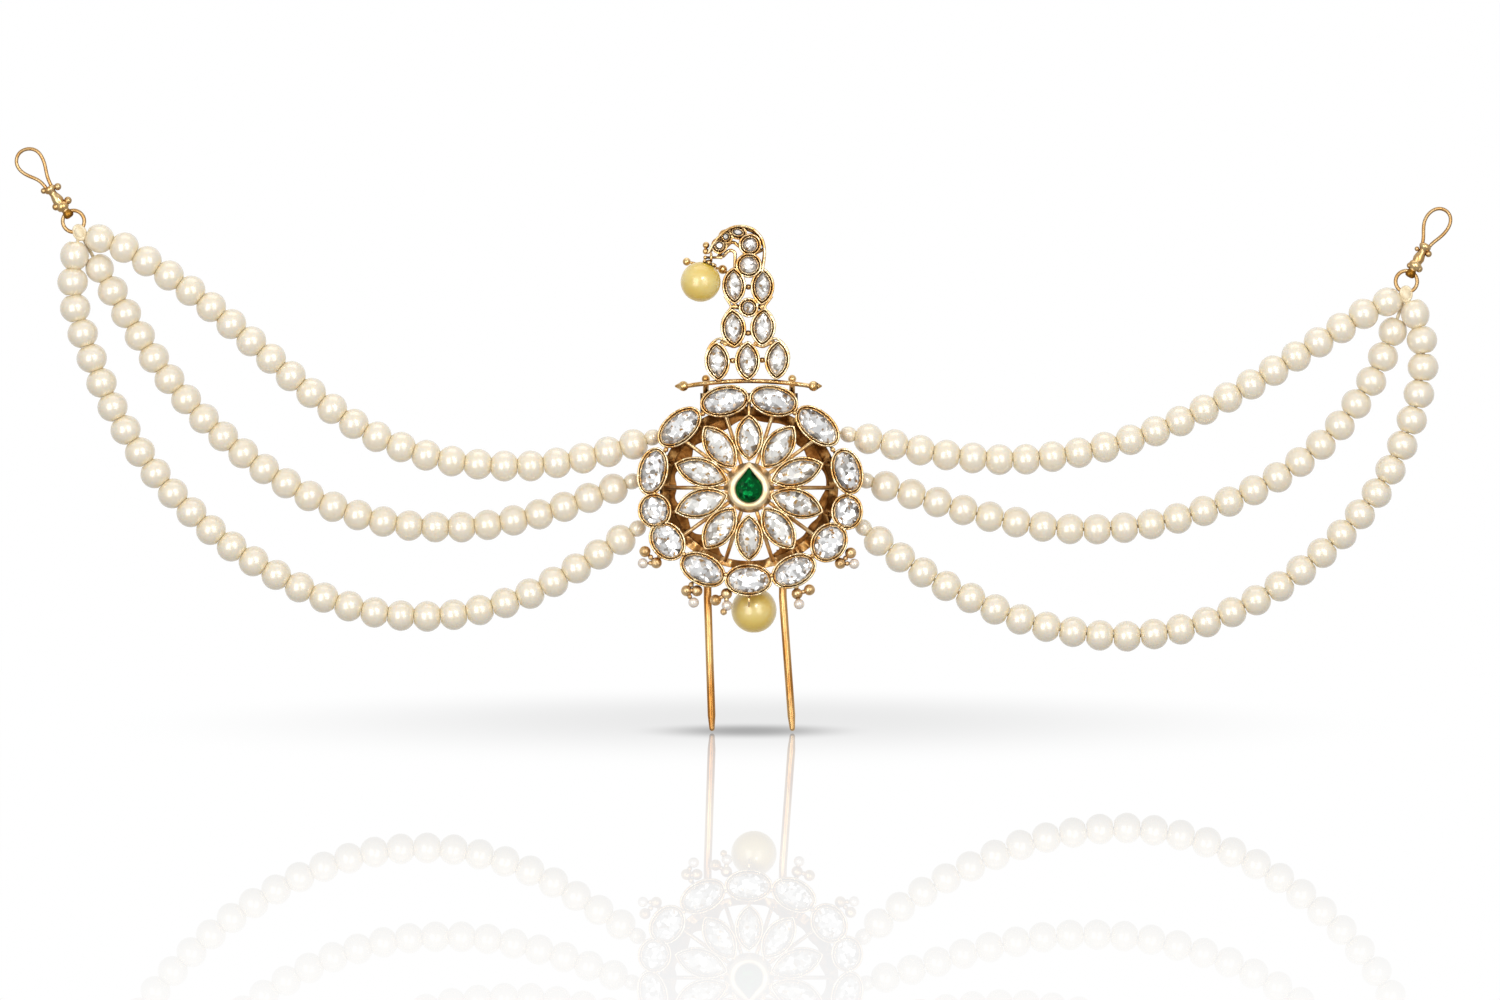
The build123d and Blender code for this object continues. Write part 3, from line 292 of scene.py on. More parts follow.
# shine is the roughness of clean metal, hammer the strength of its dents, and reach the millimetres that
# tarnish and painted shade creep out of a corner. Between the depths front and back the metal goes from
# clean to tarnished and shaded, a painted shade that deepens further back, and drawn stretches the pattern
# along an upright wire.
def gold_finish(name, bright, deep, tarnish_and_shade, shine, hammer, reach, front=-1.0, back=4.0, drawn=1.0):
    material, tree = blank_material(name)
    coords = add(tree, "ShaderNodeTexCoord")
    axes = add(tree, "ShaderNodeSeparateXYZ", {0: coords.outputs["Object"]})
    stretched = add(tree, "ShaderNodeMapping", {"Vector": coords.outputs["Object"],
                                                "Scale": (1, 1, 1 / drawn)})
    place = stretched.outputs[0]
    blotch = add(tree, "ShaderNodeTexNoise", {"Vector": place, "Scale": per_mm(BLOTCH), "Detail": 3.0})
    dents = add(tree, "ShaderNodeTexNoise", {"Vector": place, "Scale": per_mm(DENT), "Detail": 2.0})
    scratch = add(tree, "ShaderNodeTexNoise", {"Vector": place, "Scale": per_mm(SCRATCH), "Detail": 3.0})
    tone = add(tree, "ShaderNodeMapRange", {"Value": blotch.outputs[0], "From Min": BLOTCH_LOW,
                                            "From Max": BLOTCH_HIGH})
    body = add(tree, "ShaderNodeMix", {0: tone.outputs[0], 6: linear(deep), 7: linear(bright)},
               data_type="RGBA")
    # tarnish and painted shade: darker in corners, found by ambient occlusion, and darker towards the back
    corners = add(tree, "ShaderNodeAmbientOcclusion", {"Distance": reach * MM}, samples=6)
    open_sky = add(tree, "ShaderNodeMapRange", {"Value": corners.outputs["AO"], "From Min": CORNER,
                                                "From Max": OPEN})
    shallow = add(tree, "ShaderNodeMapRange", {"Value": axes.outputs["Y"], "From Min": back * MM,
                                               "From Max": front * MM, "To Min": DEEPEST_CLEAN_AND_UNSHADED})
    clean_and_unshaded = add(tree, "ShaderNodeMath", {0: open_sky.outputs[0], 1: shallow.outputs[0]}, operation="MINIMUM")
    colour = add(tree, "ShaderNodeMix", {0: clean_and_unshaded.outputs[0], 6: linear(tarnish_and_shade), 7: body.outputs[2]},
                 data_type="RGBA")
    wear = add(tree, "ShaderNodeMapRange", {"Value": scratch.outputs[0], "From Min": WEAR_LOW,
                                            "From Max": WEAR_HIGH, "To Min": shine,
                                            "To Max": shine + WEAR_SPREAD})
    dull = add(tree, "ShaderNodeMix", {0: clean_and_unshaded.outputs[0], 2: TARNISH_ROUGH, 3: wear.outputs[0]})
    rounded = add(tree, "ShaderNodeBevel", {"Radius": EDGE_ROUND * MM}, samples=4)
    bump = add(tree, "ShaderNodeBump", {"Height": dents.outputs[0], "Strength": hammer,
                                        "Distance": DENT_DEPTH * MM, "Normal": rounded.outputs[0]})
    grain = add(tree, "ShaderNodeBump", {"Height": scratch.outputs[0], "Strength": SCRATCH_STRENGTH,
                                         "Distance": SCRATCH_DEPTH * MM, "Normal": bump.outputs[0]})
    surface = add(tree, "ShaderNodeBsdfPrincipled", {
        "Base Color": colour.outputs[2], "Metallic": 1.0, "Roughness": dull.outputs[0],
        "Normal": grain.outputs[0]})
    add(tree, "ShaderNodeOutputMaterial", {"Surface": surface.outputs[0]})
    return material


# soldered gallery behind the petals, brown with old tarnish and with painted shade that deepens towards the
# back
gallery_gold = gold_finish("tarnish_and_shade_gallery_gold", "#D8AA6A", "#9A6832", "#3C220C", 0.22, 0.9, 1.0,
                           front=-3.6, back=-2.7)
# the same gallery low down, painted lighter: painted light where the table throws light into it
painted_light_lower_gold = gold_finish("painted_light_lower_gallery_gold", "#F4CE94", "#CC9856", "#6A4420", 0.20, 0.8, 1.0,
                         front=-3.5, back=-2.2)
# old casting in the recesses, never rubbed, painted nearly black for tarnish and the shade of the recess
recess_gold = gold_finish("tarnish_and_shade_recess_gold", "#A8743C", "#70441A", "#3C200C", 0.28, 1.0, 1.0,
                          front=-3.0, back=-1.2)
# hammered collets, shiny with dark corners
antique_gold = gold_finish("antique_gold", "#F6D49C", "#CFA062", "#40220A", 0.14, 0.9, 0.9)
plume_gold = gold_finish("plume_antique_gold", "#F4D29A", "#C89856", "#4A280C", 0.14, 1.0, 0.9)
# rubbed bezel round the centre, pale and satin
bezel_gold = gold_finish("satin_bezel_gold", "#FFEECA", "#FBDCAC", "#B88448", 0.38, 0.12, 0.3)
# filed spokes, clean on their fronts
spoke_gold = gold_finish("spoke_gold", "#FFE6B4", "#E8BE80", "#6A4018", 0.26, 0.6, 0.4)
# fine wire and strip, burnished bright
rim_gold = gold_finish("hammered_rim_gold", "#FFEAC0", "#E0B06C", "#482810", 0.12, 1.0, 0.55)
# smooth rings and hooks, and a darker brown gold for the end of each hook's fitting by the ring: painted
# shade
hook_gold = gold_finish("hook_gold", "#FBDCA4", "#EEBE7A", "#6A3C10", 0.16, 0.10, 0.4, back=1.0)
painted_shade_hook_end_gold = gold_finish("painted_shade_hook_end_gold", "#B88436", "#8E6020", "#5A3408", 0.34, 0.8, 0.5, back=1.0)
# drawn prongs, streaked along their length
prong_gold = gold_finish("prong_gold", "#F0C686", "#C08440", "#7A4A1A", 0.24, 0.6, 0.5, back=2.0,
                         drawn=9.0)
# cast grains, matt
grain_gold = gold_finish("cast_grain_gold", "#F6DAAC", "#CCA26A", "#5A3412", 0.34, 1.0, 0.6)
print("golds", [material.name for material in bpy.data.materials if material.name.endswith("gold")])

# %% [markdown]
# Cut stones
# Colourless crystal is set over silver foil in a closed collet, so no light leaves through its back. What
# the eye sees is the foil's own crumples and the facets' echoes, a patchwork of small mirrors tilted every
# way, under one smooth sheet of glass. So the finish tilts the normal cell by cell, and a clear coat on
# the true facets does the glass. The echoes are painted into the colour as well: some cells are painted
# dark and some patches ochre, painted reflections of the dark room and the gold round each stone, and on
# the emerald the painted reflections are dark and light green.

# %% Stone finish
# sizes in millimetres
SWAY, PUSH, GLINT_PATCH = 1.5, 1.2, 1.1
# noise values over which cells turn to the painted dark reflection, and the span over which painted glints
# fade in
DARK_REFLECTION_FROM, DARK_REFLECTION_FULL = 0.62, 0.95
GLINT_FADE = 0.08
FOIL_ROUGH = 0.14
GLASS_ROUGH, GLASS_IOR = 0.02, 1.6
HALF = (0.5, 0.5, 0.5)


# cell is the size in millimetres of one crumple in the foil, and tilt how far it leans. The light colour
# is the foil's own; the other two are painted reflections, dark in some cells and ochre, or lighter, in
# patches from a given noise value on.
def foiled_stone(name, light, dark_reflection, glint_colour, glint_from, cell, tilt, metal, glass=1.0):
    material, tree = blank_material(name)
    coords = add(tree, "ShaderNodeTexCoord")
    place = coords.outputs["Object"]
    bent = add(tree, "ShaderNodeTexNoise", {"Vector": place, "Scale": per_mm(SWAY), "Detail": 2.0})
    pulled = add(tree, "ShaderNodeVectorMath", {0: bent.outputs[1], 1: HALF}, operation="SUBTRACT")
    push = add(tree, "ShaderNodeVectorMath", {0: pulled.outputs[0], "Scale": PUSH * MM}, operation="SCALE")
    swayed = add(tree, "ShaderNodeVectorMath", {0: place, 1: push.outputs[0]}, operation="ADD")
    mirrors = add(tree, "ShaderNodeTexVoronoi", {"Vector": swayed.outputs[0], "Scale": per_mm(cell)})
    shifted = add(tree, "ShaderNodeVectorMath", {0: mirrors.outputs["Color"], 1: HALF},
                  operation="SUBTRACT")
    leaning = add(tree, "ShaderNodeVectorMath", {0: shifted.outputs[0], "Scale": tilt}, operation="SCALE")
    flat = add(tree, "ShaderNodeNewGeometry")
    turned_face = add(tree, "ShaderNodeVectorMath", {0: flat.outputs["Normal"], 1: leaning.outputs[0]},
                      operation="ADD")
    facet = add(tree, "ShaderNodeVectorMath", {0: turned_face.outputs[0]}, operation="NORMALIZE")
    parts = add(tree, "ShaderNodeSeparateXYZ", {0: mirrors.outputs["Color"]})
    # painted reflection: past a noise value a cell is painted dark
    dark_reflection_share = add(tree, "ShaderNodeMapRange", {"Value": parts.outputs["X"], "From Min": DARK_REFLECTION_FROM,
                                                "From Max": DARK_REFLECTION_FULL})
    body = add(tree, "ShaderNodeMix", {0: dark_reflection_share.outputs[0], 6: linear(light), 7: linear(dark_reflection)},
               data_type="RGBA")
    # painted glint: patches painted ochre, or lighter on the emerald, as reflections of the gold and light
    # round the stone
    patch = add(tree, "ShaderNodeTexNoise", {"Vector": place, "Scale": per_mm(GLINT_PATCH), "Detail": 2.0})
    glint_share = add(tree, "ShaderNodeMapRange", {"Value": patch.outputs[0], "From Min": glint_from,
                                             "From Max": glint_from + GLINT_FADE})
    colour = add(tree, "ShaderNodeMix", {0: glint_share.outputs[0], 6: body.outputs[2], 7: linear(glint_colour)},
                 data_type="RGBA")
    surface = add(tree, "ShaderNodeBsdfPrincipled", {
        "Base Color": colour.outputs[2], "Metallic": metal, "Roughness": FOIL_ROUGH,
        "Normal": facet.outputs[0], "Specular IOR Level": 0.5 * glass, "Coat Weight": glass,
        "Coat Roughness": GLASS_ROUGH, "Coat IOR": GLASS_IOR, "Coat Normal": flat.outputs["Normal"]})
    add(tree, "ShaderNodeOutputMaterial", {"Surface": surface.outputs[0]})
    return material


# foil colour, painted dark reflection, painted glint, noise value where glints start, crumple size, lean,
# metallic share
rim_crystal = foiled_stone("rim_crystal", "#FFFFFF", "#AEA8A0", "#AA8048", 0.605, 0.95, 0.95, 0.6)
petal_crystal = foiled_stone("petal_crystal", "#FCFAF5", "#B2A89A", "#BC9250", 0.585, 1.1, 0.85, 0.5)
plume_crystal = foiled_stone("plume_crystal", "#FFFDFA", "#B2AA9E", "#A88250", 0.60, 0.8, 0.8, 0.5)
# a green drop over green foil, dark, with little glass on top so that the windows don't bleach it
emerald = foiled_stone("emerald", "#005C28", "#002A12", "#048A40", 0.60, 0.9, 0.35, 0.75, glass=0.08)

# %% [markdown]
# Pearls
# A pearl is thousands of thin layers, so it shines twice: a broad glow from the layers inside, and a
# clearer mirror on top. A share of metallic and a coat give the two. Strung pearls are creamier round
# the drill hole, where each one is shaded by its neighbour, so the colour follows a value stored along
# the bead.

# %% Pearl finish
NACRE_IOR, LUSTRE_IOR = 1.53, 1.7
NACRE_DEPTH = 1.2
CLOUD_LOW, CLOUD_HIGH, CLOUD_MOST = 0.3, 0.7, 0.35
GLOW_ROUGH = 0.35


# gloss and over are the weight and roughness of the mirror on top, lustre and under the metallic share and
# roughness of the layers below, spot the millimetres of a cloud, and cream_to where the shade sets in.
def pearl_finish(name, light, shade, tint, gloss, lustre, spot, under, over, glow=0.0, cream_to=0.55):
    material, tree = blank_material(name)
    coords = add(tree, "ShaderNodeTexCoord")
    cloud = add(tree, "ShaderNodeTexNoise", {"Vector": coords.outputs["Object"], "Scale": per_mm(spot),
                                             "Detail": 2.0})
    ends = add(tree, "ShaderNodeAttribute", attribute_name="along")
    near_end = add(tree, "ShaderNodeMapRange", {"Value": ends.outputs["Fac"], "From Min": cream_to,
                                                "From Max": 1.0})
    drift = add(tree, "ShaderNodeMapRange", {"Value": cloud.outputs[0], "From Min": CLOUD_LOW,
                                             "From Max": CLOUD_HIGH, "To Min": 0.0,
                                             "To Max": CLOUD_MOST})
    shaded = add(tree, "ShaderNodeMath", {0: near_end.outputs[0], 1: drift.outputs[0]}, operation="MAXIMUM")
    colour = add(tree, "ShaderNodeMix", {0: shaded.outputs[0], 6: linear(light), 7: linear(shade)},
                 data_type="RGBA")
    surface = add(tree, "ShaderNodeBsdfPrincipled", {
        "Base Color": colour.outputs[2], "Metallic": lustre, "Roughness": under, "IOR": NACRE_IOR,
        "Subsurface Weight": 0.5, "Subsurface Radius": (1.0, 0.85, 0.65),
        "Subsurface Scale": NACRE_DEPTH * MM,
        "Coat Weight": gloss, "Coat Roughness": over, "Coat IOR": LUSTRE_IOR, "Coat Tint": linear(tint),
        "Sheen Weight": glow, "Sheen Roughness": GLOW_ROUGH, "Sheen Tint": linear(shade)})
    add(tree, "ShaderNodeOutputMaterial", {"Surface": surface.outputs[0]})
    return material


cream_pearl = pearl_finish("cream_pearl", "#ECE6DC", "#EEE2C6", "#FCF8F0", 0.9, 0.2, 3.0, 0.34, 0.13)
golden_pearl = pearl_finish("golden_pearl", "#E4D28A", "#D6B424", "#FFFCF8", 1.0, 0.03, 4.0, 0.36, 0.20,
                            glow=0.5, cream_to=0.05)
seed_pearl = pearl_finish("silver_pearl", "#F4EEE8", "#C8B4A4", "#FBF6F0", 0.9, 0.3, 0.8, 0.3, 0.12)

# %% [markdown]
# Silk
# Jewellers string on twisted silk, matt and a little furry, ivory with age. The real twist is finer than
# the picture can show, so the bands of a wave texture are laid slantwise at 0.9 mm, as coarse as they need
# to be seen, and a sheen gives the fur.

# %% Silk finish
TWIST_STEP, WAVE_LENGTH = 0.9, 6.28
TWIST_SLANT, TWIST_DEPTH = 0.7, 0.1


def silk_finish():
    material, tree = blank_material("ivory_silk")
    coords = add(tree, "ShaderNodeTexCoord")
    slanted = add(tree, "ShaderNodeMapping", {"Vector": coords.outputs["Object"],
                                              "Rotation": (0, TWIST_SLANT, 0)})
    twist = add(tree, "ShaderNodeTexWave", {"Vector": slanted.outputs[0],
                                            "Scale": per_mm(TWIST_STEP) / WAVE_LENGTH,
                                            "Distortion": 1.5, "Detail": 2.0})
    colour = add(tree, "ShaderNodeMix", {0: twist.outputs[1], 6: linear("#E2D0AC"), 7: linear("#F2E4C6")},
                 data_type="RGBA")
    bump = add(tree, "ShaderNodeBump", {"Height": twist.outputs[1], "Strength": 0.8,
                                        "Distance": TWIST_DEPTH * MM})
    surface = add(tree, "ShaderNodeBsdfPrincipled", {
        "Base Color": colour.outputs[2], "Roughness": 0.7, "Sheen Weight": 0.5, "Normal": bump.outputs[0]})
    add(tree, "ShaderNodeOutputMaterial", {"Surface": surface.outputs[0]})
    return material


ivory_silk = silk_finish()

# %% [markdown]
# Metal that is right as it is
# The frame's solids already have their true form. Their meshes come as loose triangles, which cannot be
# shaded smooth, so each is copied, its doubled corners are merged, and edges sharper than a set angle
# stay crisp. The copy then stands for the solid.

# %% Smooth copies of the solids
MERGE = 0.002 * MM


def choose(piece):
    deselect()
    piece.select_set(True)
    bpy.context.view_layer.objects.active = piece


def face_outwards():
    bpy.ops.mesh.select_all(action="SELECT")
    bpy.ops.mesh.normals_make_consistent(inside=False)
    bpy.ops.object.mode_set(mode="OBJECT")


def smooth_below(angle):
    bpy.ops.object.shade_smooth_by_angle(angle=math.radians(angle))


def finish_piece(piece, name, material, body, slot, *nodes):
    deselect()
    piece.name = name
    piece.data.name = name
    piece.data.materials.clear()
    piece.data.materials.append(material)
    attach(piece, body)
    if nodes:
        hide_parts(*nodes)
    return piece


def body_of_node(node):
    return frame["nodes"][node]["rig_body"]


def smooth_copy(node, name, material, slot, sharp=32):
    body = body_of_node(node)
    piece = frame["nodes"][node].copy()
    piece.data = piece.data.copy()
    piece.parent = None
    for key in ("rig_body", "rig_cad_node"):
        del piece[key]
    bpy.context.scene.collection.objects.link(piece)
    choose(piece)
    bpy.ops.object.mode_set(mode="EDIT")
    bpy.ops.mesh.select_all(action="SELECT")
    bpy.ops.mesh.remove_doubles(threshold=MERGE)
    bpy.ops.object.mode_set(mode="OBJECT")
    smooth_below(sharp)
    return finish_piece(piece, name, material, body, slot, node)


# %% Golds of the medallion, face by face
# sizes and places in millimetres
BEZEL_MIDDLE, BEZEL_REACH = (0.0, 21.3), 6.4
GALLERY_IN, GALLERY_OUT = 12.4, 20.6
GALLERY_LOW = 11.0
SPOKE_FRONT, SPOKE_BACK = -3.85, -2.6
SPOKE_END = 16.5
# how far a face looks back, along y
LOOKS_BACK, LOOKS_ASIDE, STRAIGHT_ON = 0.5, -0.1, -0.9995
MEDALLION_GOLDS = [antique_gold, bezel_gold, gallery_gold, grain_gold, painted_light_lower_gold, spoke_gold]
CLUSTER_BALLS = [
    # x, z
    (-18.9, 5.6), (-21.2, 7.9), (-12.7, -0.1), (-10.6, -0.1), (-4.6, -0.7), (-6.8, -2.0),
    (9.8, -0.7), (12.3, 0.1), (18.6, 5.5), (20.7, 7.6)]
CLUSTER_REACH = 1.2


def from_axis(face, x, z):
    return math.hypot(face.center.x / MM - x, face.center.z / MM - z)


def gold_of(face):
    gold = antique_gold
    if any(from_axis(face, x, z) < CLUSTER_REACH for x, z in CLUSTER_BALLS):
        gold = grain_gold
    if face.normal.y > LOOKS_BACK:
        return gold
    from_middle = from_axis(face, *BEZEL_MIDDLE)
    spoke = face.center.y < SPOKE_BACK * MM and STRAIGHT_ON < face.normal.y < LOOKS_ASIDE
    if from_middle < BEZEL_REACH:
        gold = bezel_gold
    if GALLERY_IN < from_middle < GALLERY_OUT and not spoke:
        # painted light: below a set height the gallery takes the lighter gold
        gold = painted_light_lower_gold if face.center.z < GALLERY_LOW * MM else gallery_gold
    if spoke and SPOKE_FRONT * MM < face.center.y and BEZEL_REACH < from_middle < SPOKE_END:
        gold = spoke_gold
    return gold


def place_golds(piece):
    for gold in MEDALLION_GOLDS[1:]:
        piece.data.materials.append(gold)
    for face in piece.data.polygons:
        face.material_index = MEDALLION_GOLDS.index(gold_of(face))
    print("medallion", len(piece.data.polygons), "faces in", len(MEDALLION_GOLDS), "golds")


place_golds(smooth_copy("medallion_frame", "medallion_gold_work", antique_gold, "gold"))
smooth_copy("plume_frame", "plume_gold_work", plume_gold, "gold")
smooth_copy("turban_fork", "fork_gold", prong_gold, "gold")
for side in ("left", "right"):
    smooth_copy(f"{side}_ring", f"{side}_ring_gold", hook_gold, "gold")
    for level in ("upper", "middle", "lower"):
        smooth_copy(f"{side}_{level}_thread", f"{side}_{level}_silk", ivory_silk, "thread")
for drop in ("rim_pearl", "plume_pearl"):
    smooth_copy(f"{drop}_wire", f"{drop}_gold", antique_gold, "gold")

# %% [markdown]
# Stones that keep their solids
# The cutter's flat table and facets are already in the solids, with crisp edges that must not be smoothed.
# So these nodes stay as they are, and each only gets its finish.

# %% Stones keep their solids
def paint(node, material):
    piece = frame["nodes"][node]
    piece.data.materials.clear()
    piece.data.materials.append(material)


for node in frame["nodes"]:
    if node.startswith("outer_stone"):
        paint(node, rim_crystal)
    if node.startswith("petal_stone"):
        paint(node, petal_crystal)
paint("plume_stones", plume_crystal)
paint("centre_stone", emerald)
print("stone nodes", len([node for node in frame["nodes"] if "stone" in node]))

# %% [markdown]
# Finding each stone and bead
# A node may hold many loose solids, such as the pearls of a string. Merging its corners and walking from
# corner to corner along the edges gives each solid's own corners, and from these its middle and its size.

# %% Loose solids of a node
def solids_of(node):
    mesh = bmesh.new()
    mesh.from_mesh(frame["nodes"][node].data)
    bmesh.ops.remove_doubles(mesh, verts=mesh.verts, dist=MERGE)
    left = dict.fromkeys(mesh.verts)
    solids = []
    while left:
        first = next(iter(left))
        del left[first]
        reached, front = [first], [first]
        while front:
            corner = front.pop()
            for edge in corner.link_edges:
                other = edge.other_vert(corner)
                if other in left:
                    del left[other]
                    reached.append(other)
                    front.append(other)
        solids.append([v.co.copy() for v in reached])
    mesh.free()
    return solids


def middle_of(corners):
    low = Vector([min(c[i] for c in corners) for i in range(3)])
    high = Vector([max(c[i] for c in corners) for i in range(3)])
    return (low + high) / 2


# %% [markdown]
# Strings of pearls
# Pearls that hang on one string for years wear flat where they touch, so every pearl is a ball with two
# small flats round its drill hole. The ball is bisected at both ends, its open rims are extruded inwards,
# and the two rims are bridged into the drilled hole. This pearl is modelled once, one unit in radius, and
# a copy goes to the middle of each bead of the frame, sized to it and turned along the string.

# %% One drilled pearl
PEARL_SEGMENTS, PEARL_RINGS = 32, 22
DIMPLE = 0.97


def drilled_pearl(name, flat_at, hole):
    deselect()
    bpy.ops.mesh.primitive_uv_sphere_add(segments=PEARL_SEGMENTS, ring_count=PEARL_RINGS, radius=1)
    pearl = bpy.context.object
    pearl.name = name
    bpy.ops.object.mode_set(mode="EDIT")
    bpy.ops.mesh.select_mode(type="VERT")
    for side in (-1, 1):
        bpy.ops.mesh.select_all(action="SELECT")
        bpy.ops.mesh.bisect(plane_co=(0, 0, side * flat_at), plane_no=(0, 0, side), clear_outer=True)
    bpy.ops.mesh.select_all(action="DESELECT")
    bpy.ops.mesh.select_non_manifold()
    shrink = hole / math.sqrt(1 - flat_at**2)
    bpy.ops.mesh.extrude_edges_move()
    bpy.ops.transform.resize(value=(shrink, shrink, DIMPLE))
    bpy.ops.mesh.bridge_edge_loops()
    face_outwards()
    smooth_below(60)
    along = pearl.data.attributes.new("along", "FLOAT", "POINT")
    for vertex, value in zip(pearl.data.vertices, along.data):
        value.value = abs(vertex.co.z) / flat_at
    return pearl


STRUNG_FLAT, STRUNG_HOLE = 0.89, 0.20
DROP_FLAT, DROP_HOLE = 0.985, 0.13
strung_pearl = drilled_pearl("strung_pearl", STRUNG_FLAT, STRUNG_HOLE)
drop_pearl = drilled_pearl("drop_pearl", DROP_FLAT, DROP_HOLE)
print("one pearl has", len(strung_pearl.data.polygons), "faces")

# %% Copy a pearl to its place
def copy_pearl(pattern, middle, direction, radius, stretch, spin=0.0):
    pearl = pattern.copy()
    pearl.data = pattern.data.copy()
    bpy.context.scene.collection.objects.link(pearl)
    size = Matrix.Diagonal((radius, radius, stretch, 1))
    turn = direction.to_track_quat("Z", "Y").to_matrix().to_4x4() @ Matrix.Rotation(spin, 4, "Z")
    pearl.data.transform(Matrix.Translation(middle) @ turn @ size)
    return pearl


def join(pieces):
    deselect()
    for piece in pieces:
        piece.select_set(True)
    bpy.context.view_layer.objects.active = pieces[0]
    bpy.ops.object.join()
    return bpy.context.object


# %% String them
PEARL_PROUD = 0.18
PEARL_PLUMP = 1.075
THINNEST, SHORTEST = 0.985, 0.99
STRANDS = [f"{side}_{level}" for side in ("left", "right") for level in ("upper", "middle", "lower")]


def in_order(middles, start):
    row = [min(middles, key=lambda m: (m - start).length)]
    rest = [m for m in middles if m is not row[0]]
    while rest:
        nearest = min(rest, key=lambda m: (m - row[-1]).length)
        rest.remove(nearest)
        row.append(nearest)
    return row


def string_pearls(strand):
    solids = {tuple(middle_of(corners)): corners for corners in solids_of(f"{strand}_strand")}
    knot_low, knot_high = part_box(strand.split("_")[0] + "_knot")
    row = in_order([Vector(m) for m in solids], (knot_low + knot_high) / 2)
    dice = random.Random(strand)
    pearls = []
    for index, middle in enumerate(row):
        before, after = row[max(index - 1, 0)], row[min(index + 1, len(row) - 1)]
        direction = (after - before).normalized()
        corners = solids[tuple(middle)]
        radius = max((c - middle).cross(direction).length for c in corners)
        half = max(abs((c - middle).dot(direction)) for c in corners) + PEARL_PROUD * MM
        plump = 1.0 if index in (0, len(row) - 1) else PEARL_PLUMP
        wide = radius * plump * dice.uniform(THINNEST, 1.0)
        stretch = half * dice.uniform(SHORTEST, 1.0) / STRUNG_FLAT
        spin = dice.uniform(0, math.tau)
        pearls.append(copy_pearl(strung_pearl, middle, direction, wide, stretch, spin))
    print(strand, len(pearls), "pearls")
    return finish_piece(join(pearls), f"{strand}_pearls", cream_pearl, "root", "bead_pearl",
                        f"{strand}_strand")


for strand in STRANDS:
    string_pearls(strand)

# %% [markdown]
# Pearl drops and seed pearls
# The two golden pearls and the little silvery ones are modelled in the same way, each drilled along the
# wire or peg that carries it. The upper drop also wears a ring of cast gold grains under its cap: small
# balls whose corners are pushed in and out a little, because a grain melted on charcoal is never quite
# round.

# %% Golden drops
EYE_ASIDE = {"rim_pearl": 0.0, "plume_pearl": 2.15}
EYE_REACH = 0.98
PEARL_FIT = {"rim_pearl": 1.0, "plume_pearl": 0.984}
GRAIN_COUNT, CAP_GRAIN = 8, 0.4
GRAIN_RING, GRAIN_RISE = 1.3, 4.2
GRAIN_LEAST, GRAIN_MOST = 0.92, 1.08
BACKWARDS = Vector((0, 1, 0))
UPWARDS = Vector((0, 0, 1))


def gold_grain(place, radius, dice):
    deselect()
    bpy.ops.mesh.primitive_ico_sphere_add(subdivisions=2, radius=radius * MM)
    grain = bpy.context.object
    for vertex in grain.data.vertices:
        vertex.co *= dice.uniform(GRAIN_LEAST, GRAIN_MOST)
    bpy.ops.object.shade_smooth()
    grain.data.transform(Matrix.Translation(place))
    return grain


def cap_grains(drop, middle, axis):
    dice = random.Random(drop)
    side = axis.cross(BACKWARDS)
    grains = []
    for index in range(1, GRAIN_COUNT):
        angle = math.tau * index / GRAIN_COUNT
        out = side * math.cos(angle) + BACKWARDS * math.sin(angle)
        place = middle + (axis * GRAIN_RISE + out * GRAIN_RING) * MM
        grains.append(gold_grain(place, CAP_GRAIN, dice))
    finish_piece(join(grains), f"{drop}_cap_grains", antique_gold, body_of_node(drop), "gold")


for drop in ("rim_pearl", "plume_pearl"):
    low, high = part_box(drop)
    wire_low, wire_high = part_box(f"{drop}_wire")
    middle, radius = (low + high) / 2, (high.x - low.x) / 2 * PEARL_FIT[drop]
    eye = Vector((middle.x + EYE_ASIDE[drop] * MM, middle.y, wire_high.z - EYE_REACH * MM))
    axis = (eye - middle).normalized()
    pearl = copy_pearl(drop_pearl, middle, axis, radius, radius)
    finish_piece(pearl, f"{drop}_golden", golden_pearl, body_of_node(drop), "yellow_pearl", drop)
    print(drop, "is", round(2 * radius / MM, 2), "mm across")
    if drop == "plume_pearl":
        cap_grains(drop, middle, axis)

# %% Seed pearls
SEED_SQUASH = 0.97
seeds = []
for corners in solids_of("seed_pearls"):
    middle = middle_of(corners)
    radius = max(c.x - middle.x for c in corners)
    seeds.append(copy_pearl(drop_pearl, middle, UPWARDS, radius, radius * SEED_SQUASH))
finish_piece(join(seeds), "seed_pearls_silver", seed_pearl, "root", "seed_pearl", "seed_pearls")
print(len(seeds), "seed pearls")
for pattern in (strung_pearl, drop_pearl):
    bpy.data.objects.remove(pattern)

# %% [markdown]
# Cluster grains
# Between the gold balls and seed pearls under the rim, the goldsmith filled every gap with smaller grains.
# Each is the same uneven ball as on the cap, set where the picture shows one.

